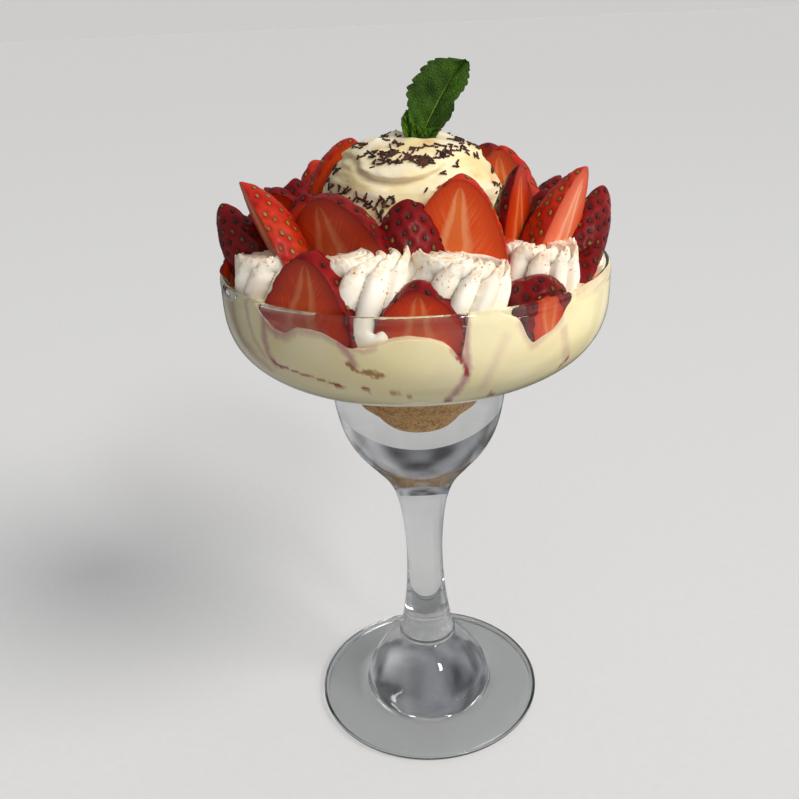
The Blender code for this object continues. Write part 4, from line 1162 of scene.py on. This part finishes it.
def make_mint():
    """The mint sprig: one big leaf, small curled ones at its foot and the cut end of their stem."""
    big = make_leaf("big_leaf", BIG_LEAF, 0.0, 2.2, 11, 1.6)
    parts = []
    for stations, forward in zip(SMALL_LEAVES, (1.6, 2.6, 2.0)):
        parts.append(make_leaf("small_leaf", stations, forward, 0.6, 5, 0.9))
    bpy.ops.object.select_all(action="DESELECT")
    bpy.ops.mesh.primitive_cylinder_add(
        vertices=14, radius=1.2 * MM, depth=6 * MM, location=(3.0 * MM, -0.6 * MM, 192.8 * MM)
    )
    stem = bpy.context.object
    select_all_of(stem)
    bpy.ops.mesh.bevel(offset=0.3 * MM, segments=2)
    bpy.ops.object.mode_set(mode="OBJECT")
    bpy.ops.object.transform_apply(location=True)
    stem.data.uv_layers.active.name = "along_leaf"
    bpy.ops.object.select_all(action="DESELECT")
    for part in (*parts, stem, big):
        part.select_set(True)
    bpy.context.view_layer.objects.active = big
    bpy.ops.object.join()
    big.name = "mint_shown"
    return finish(big, "mint", mint_leaf(), stands_for=["mint_sprig"])


# ---------------------------------------------------------------- floor, lights and camera

def make_floor():
    """A wide white board, which runs out of sight."""
    bpy.ops.object.select_all(action="DESELECT")
    bpy.ops.mesh.primitive_circle_add(vertices=96, radius=40, fill_type="NGON")
    floor = bpy.context.object
    floor.name = "floor"
    floor.data.materials.append(white_board())
    floor.visible_glossy = False  # its glare would veil the food behind the glass


def add_light(name, kind, place, aim, energy, colour, **shape):
    """A lamp that looks from its place at its aim."""
    lamp = bpy.data.lights.new(name, kind)
    lamp.energy = energy
    lamp.color = linear(colour)[:3]
    for setting, value in shape.items():
        setattr(lamp, setting, value)
    holder = bpy.data.objects.new(name, lamp)
    holder.location = place
    holder.rotation_euler = (Vector(aim) - Vector(place)).to_track_quat("-Z", "Y").to_euler()
    bpy.context.collection.objects.link(holder)
    return holder


def make_lights():
    """Soft studio light: a broad bright key from the right and above, a pale room that is dimmer on the left and
    uneven enough to show in the glass, and a window. The camera sees the room as an even pale backdrop."""
    middle = (0, 0, 0.13)
    key = add_light("key", "SUN", (0.80, -0.42, 0.78), (0, 0, 0), 2.5, "#FFFCF8", angle=math.radians(30))
    key.visible_glossy = False
    add_light("window", "AREA", (0.75, -1.25, 1.15), middle, 7, "#FFFFFF", shape="RECTANGLE", size=0.22, size_y=0.34)
    world = bpy.data.worlds.new("studio")
    bpy.context.scene.world = world
    world.use_nodes = True
    tree = world.node_tree
    way = add_node(tree, "TexCoord").outputs["Generated"]
    lit = add_node(tree, "VectorMath", {0: way, 1: (0.62, -0.1, 0.25)}, operation="DOT_PRODUCT").outputs["Value"]
    room = add_node(tree, "ValToRGB", {0: lit}, [(0.0, "#8A8C90"), (0.5, "#D2D2D1")]).outputs[0]
    furniture = add_node(tree, "TexNoise", {"Vector": way, "Scale": 2.4, "Detail": 1.0})
    stops = [(0.38, "#77797C"), (0.52, "#D8D8D8"), (0.64, "#FFFFFF")]
    uneven = add_node(tree, "ValToRGB", {0: furniture.outputs[0]}, stops).outputs[0]
    shown = add_node(tree, "Mix", {0: 1.0, 6: room, 7: uneven}, data_type="RGBA", blend_type="MULTIPLY").outputs[2]
    tree.links.new(shown, tree.nodes["Background"].inputs["Color"])
    tree.nodes["Background"].inputs["Strength"].default_value = 1.4
    backdrop = add_node(tree, "Background", {"Color": linear("#CDCCCB")})
    rays = add_node(tree, "LightPath")
    seen = add_node(
        tree, "MixShader",
        {0: rays.outputs["Is Camera Ray"], 1: tree.nodes["Background"].outputs[0], 2: backdrop.outputs[0]},
    )
    tree.links.new(seen.outputs[0], tree.nodes["World Output"].inputs["Surface"])


def make_camera():
    """A camera a little above the rim, close to the glass, looking down at it and very slightly tilted."""
    pitch, yaw, roll = math.radians(23.405), math.radians(-1.398), math.radians(-2.601)
    ahead = Vector((math.sin(yaw) * math.cos(pitch), math.cos(yaw) * math.cos(pitch), -math.sin(pitch)))
    level = Vector((math.cos(yaw), -math.sin(yaw), 0))
    above = level.cross(ahead)
    right = math.cos(roll) * level + math.sin(roll) * above
    up = -math.sin(roll) * level + math.cos(roll) * above
    lens = bpy.data.cameras.new("camera")
    lens.lens = 39.71
    lens.sensor_width = 36
    lens.clip_start = 0.01
    camera = bpy.data.objects.new("camera", lens)
    camera.matrix_world = Matrix((right, up, -ahead)).transposed().to_4x4()
    camera.location = (0, -0.25833, 0.22603)
    bpy.context.collection.objects.link(camera)
    bpy.context.scene.camera = camera


def make_skins():
    """The tones of strawberry skin: ripe is a dark wine red, bright a clear orange red."""
    return {
        # the first colour of each skin is the painted shade in its seeds' hollows
        "ripe": strawberry_skin("strawberry_skin_ripe", "#3E0204", "#6E0508", "#860C0C"),
        "bright": strawberry_skin("strawberry_skin_bright", "#7A0A06", "#B01C0C", "#C43A14"),
    }


def make_fleshes():
    """The tones of strawberry flesh, from the wine red of a ripe berry to the pale pink of a firm one."""
    return {
        "deep": strawberry_flesh("strawberry_flesh_deep", "#C2460F", "#CC6A40", "#BE3406", "#861204"),
        "bright": strawberry_flesh("strawberry_flesh_bright", "#D8662A", "#E08858", "#D2480E", "#AC2A08"),
        "pale": strawberry_flesh("strawberry_flesh_pale", "#E08058", "#E89A7A", "#D8603A", "#B4340F"),
    }


def main():
    make_camera()
    make_lights()
    make_floor()
    make_glass()
    make_crumb()
    make_cream()
    skins, fleshes = make_skins(), make_fleshes()
    seeds = []
    for name in BERRIES:
        seeds += make_berry(name, skins, fleshes)
    make_seeds(seeds)
    cream = whipped_cream()
    make_dust([make_rosette(name, cream) for name in ROSETTES])
    mound = make_mound(soft_ice_cream())
    make_sprinkles(mound)
    make_mint()
    bpy.context.scene.view_settings.view_transform = "Standard"


main()
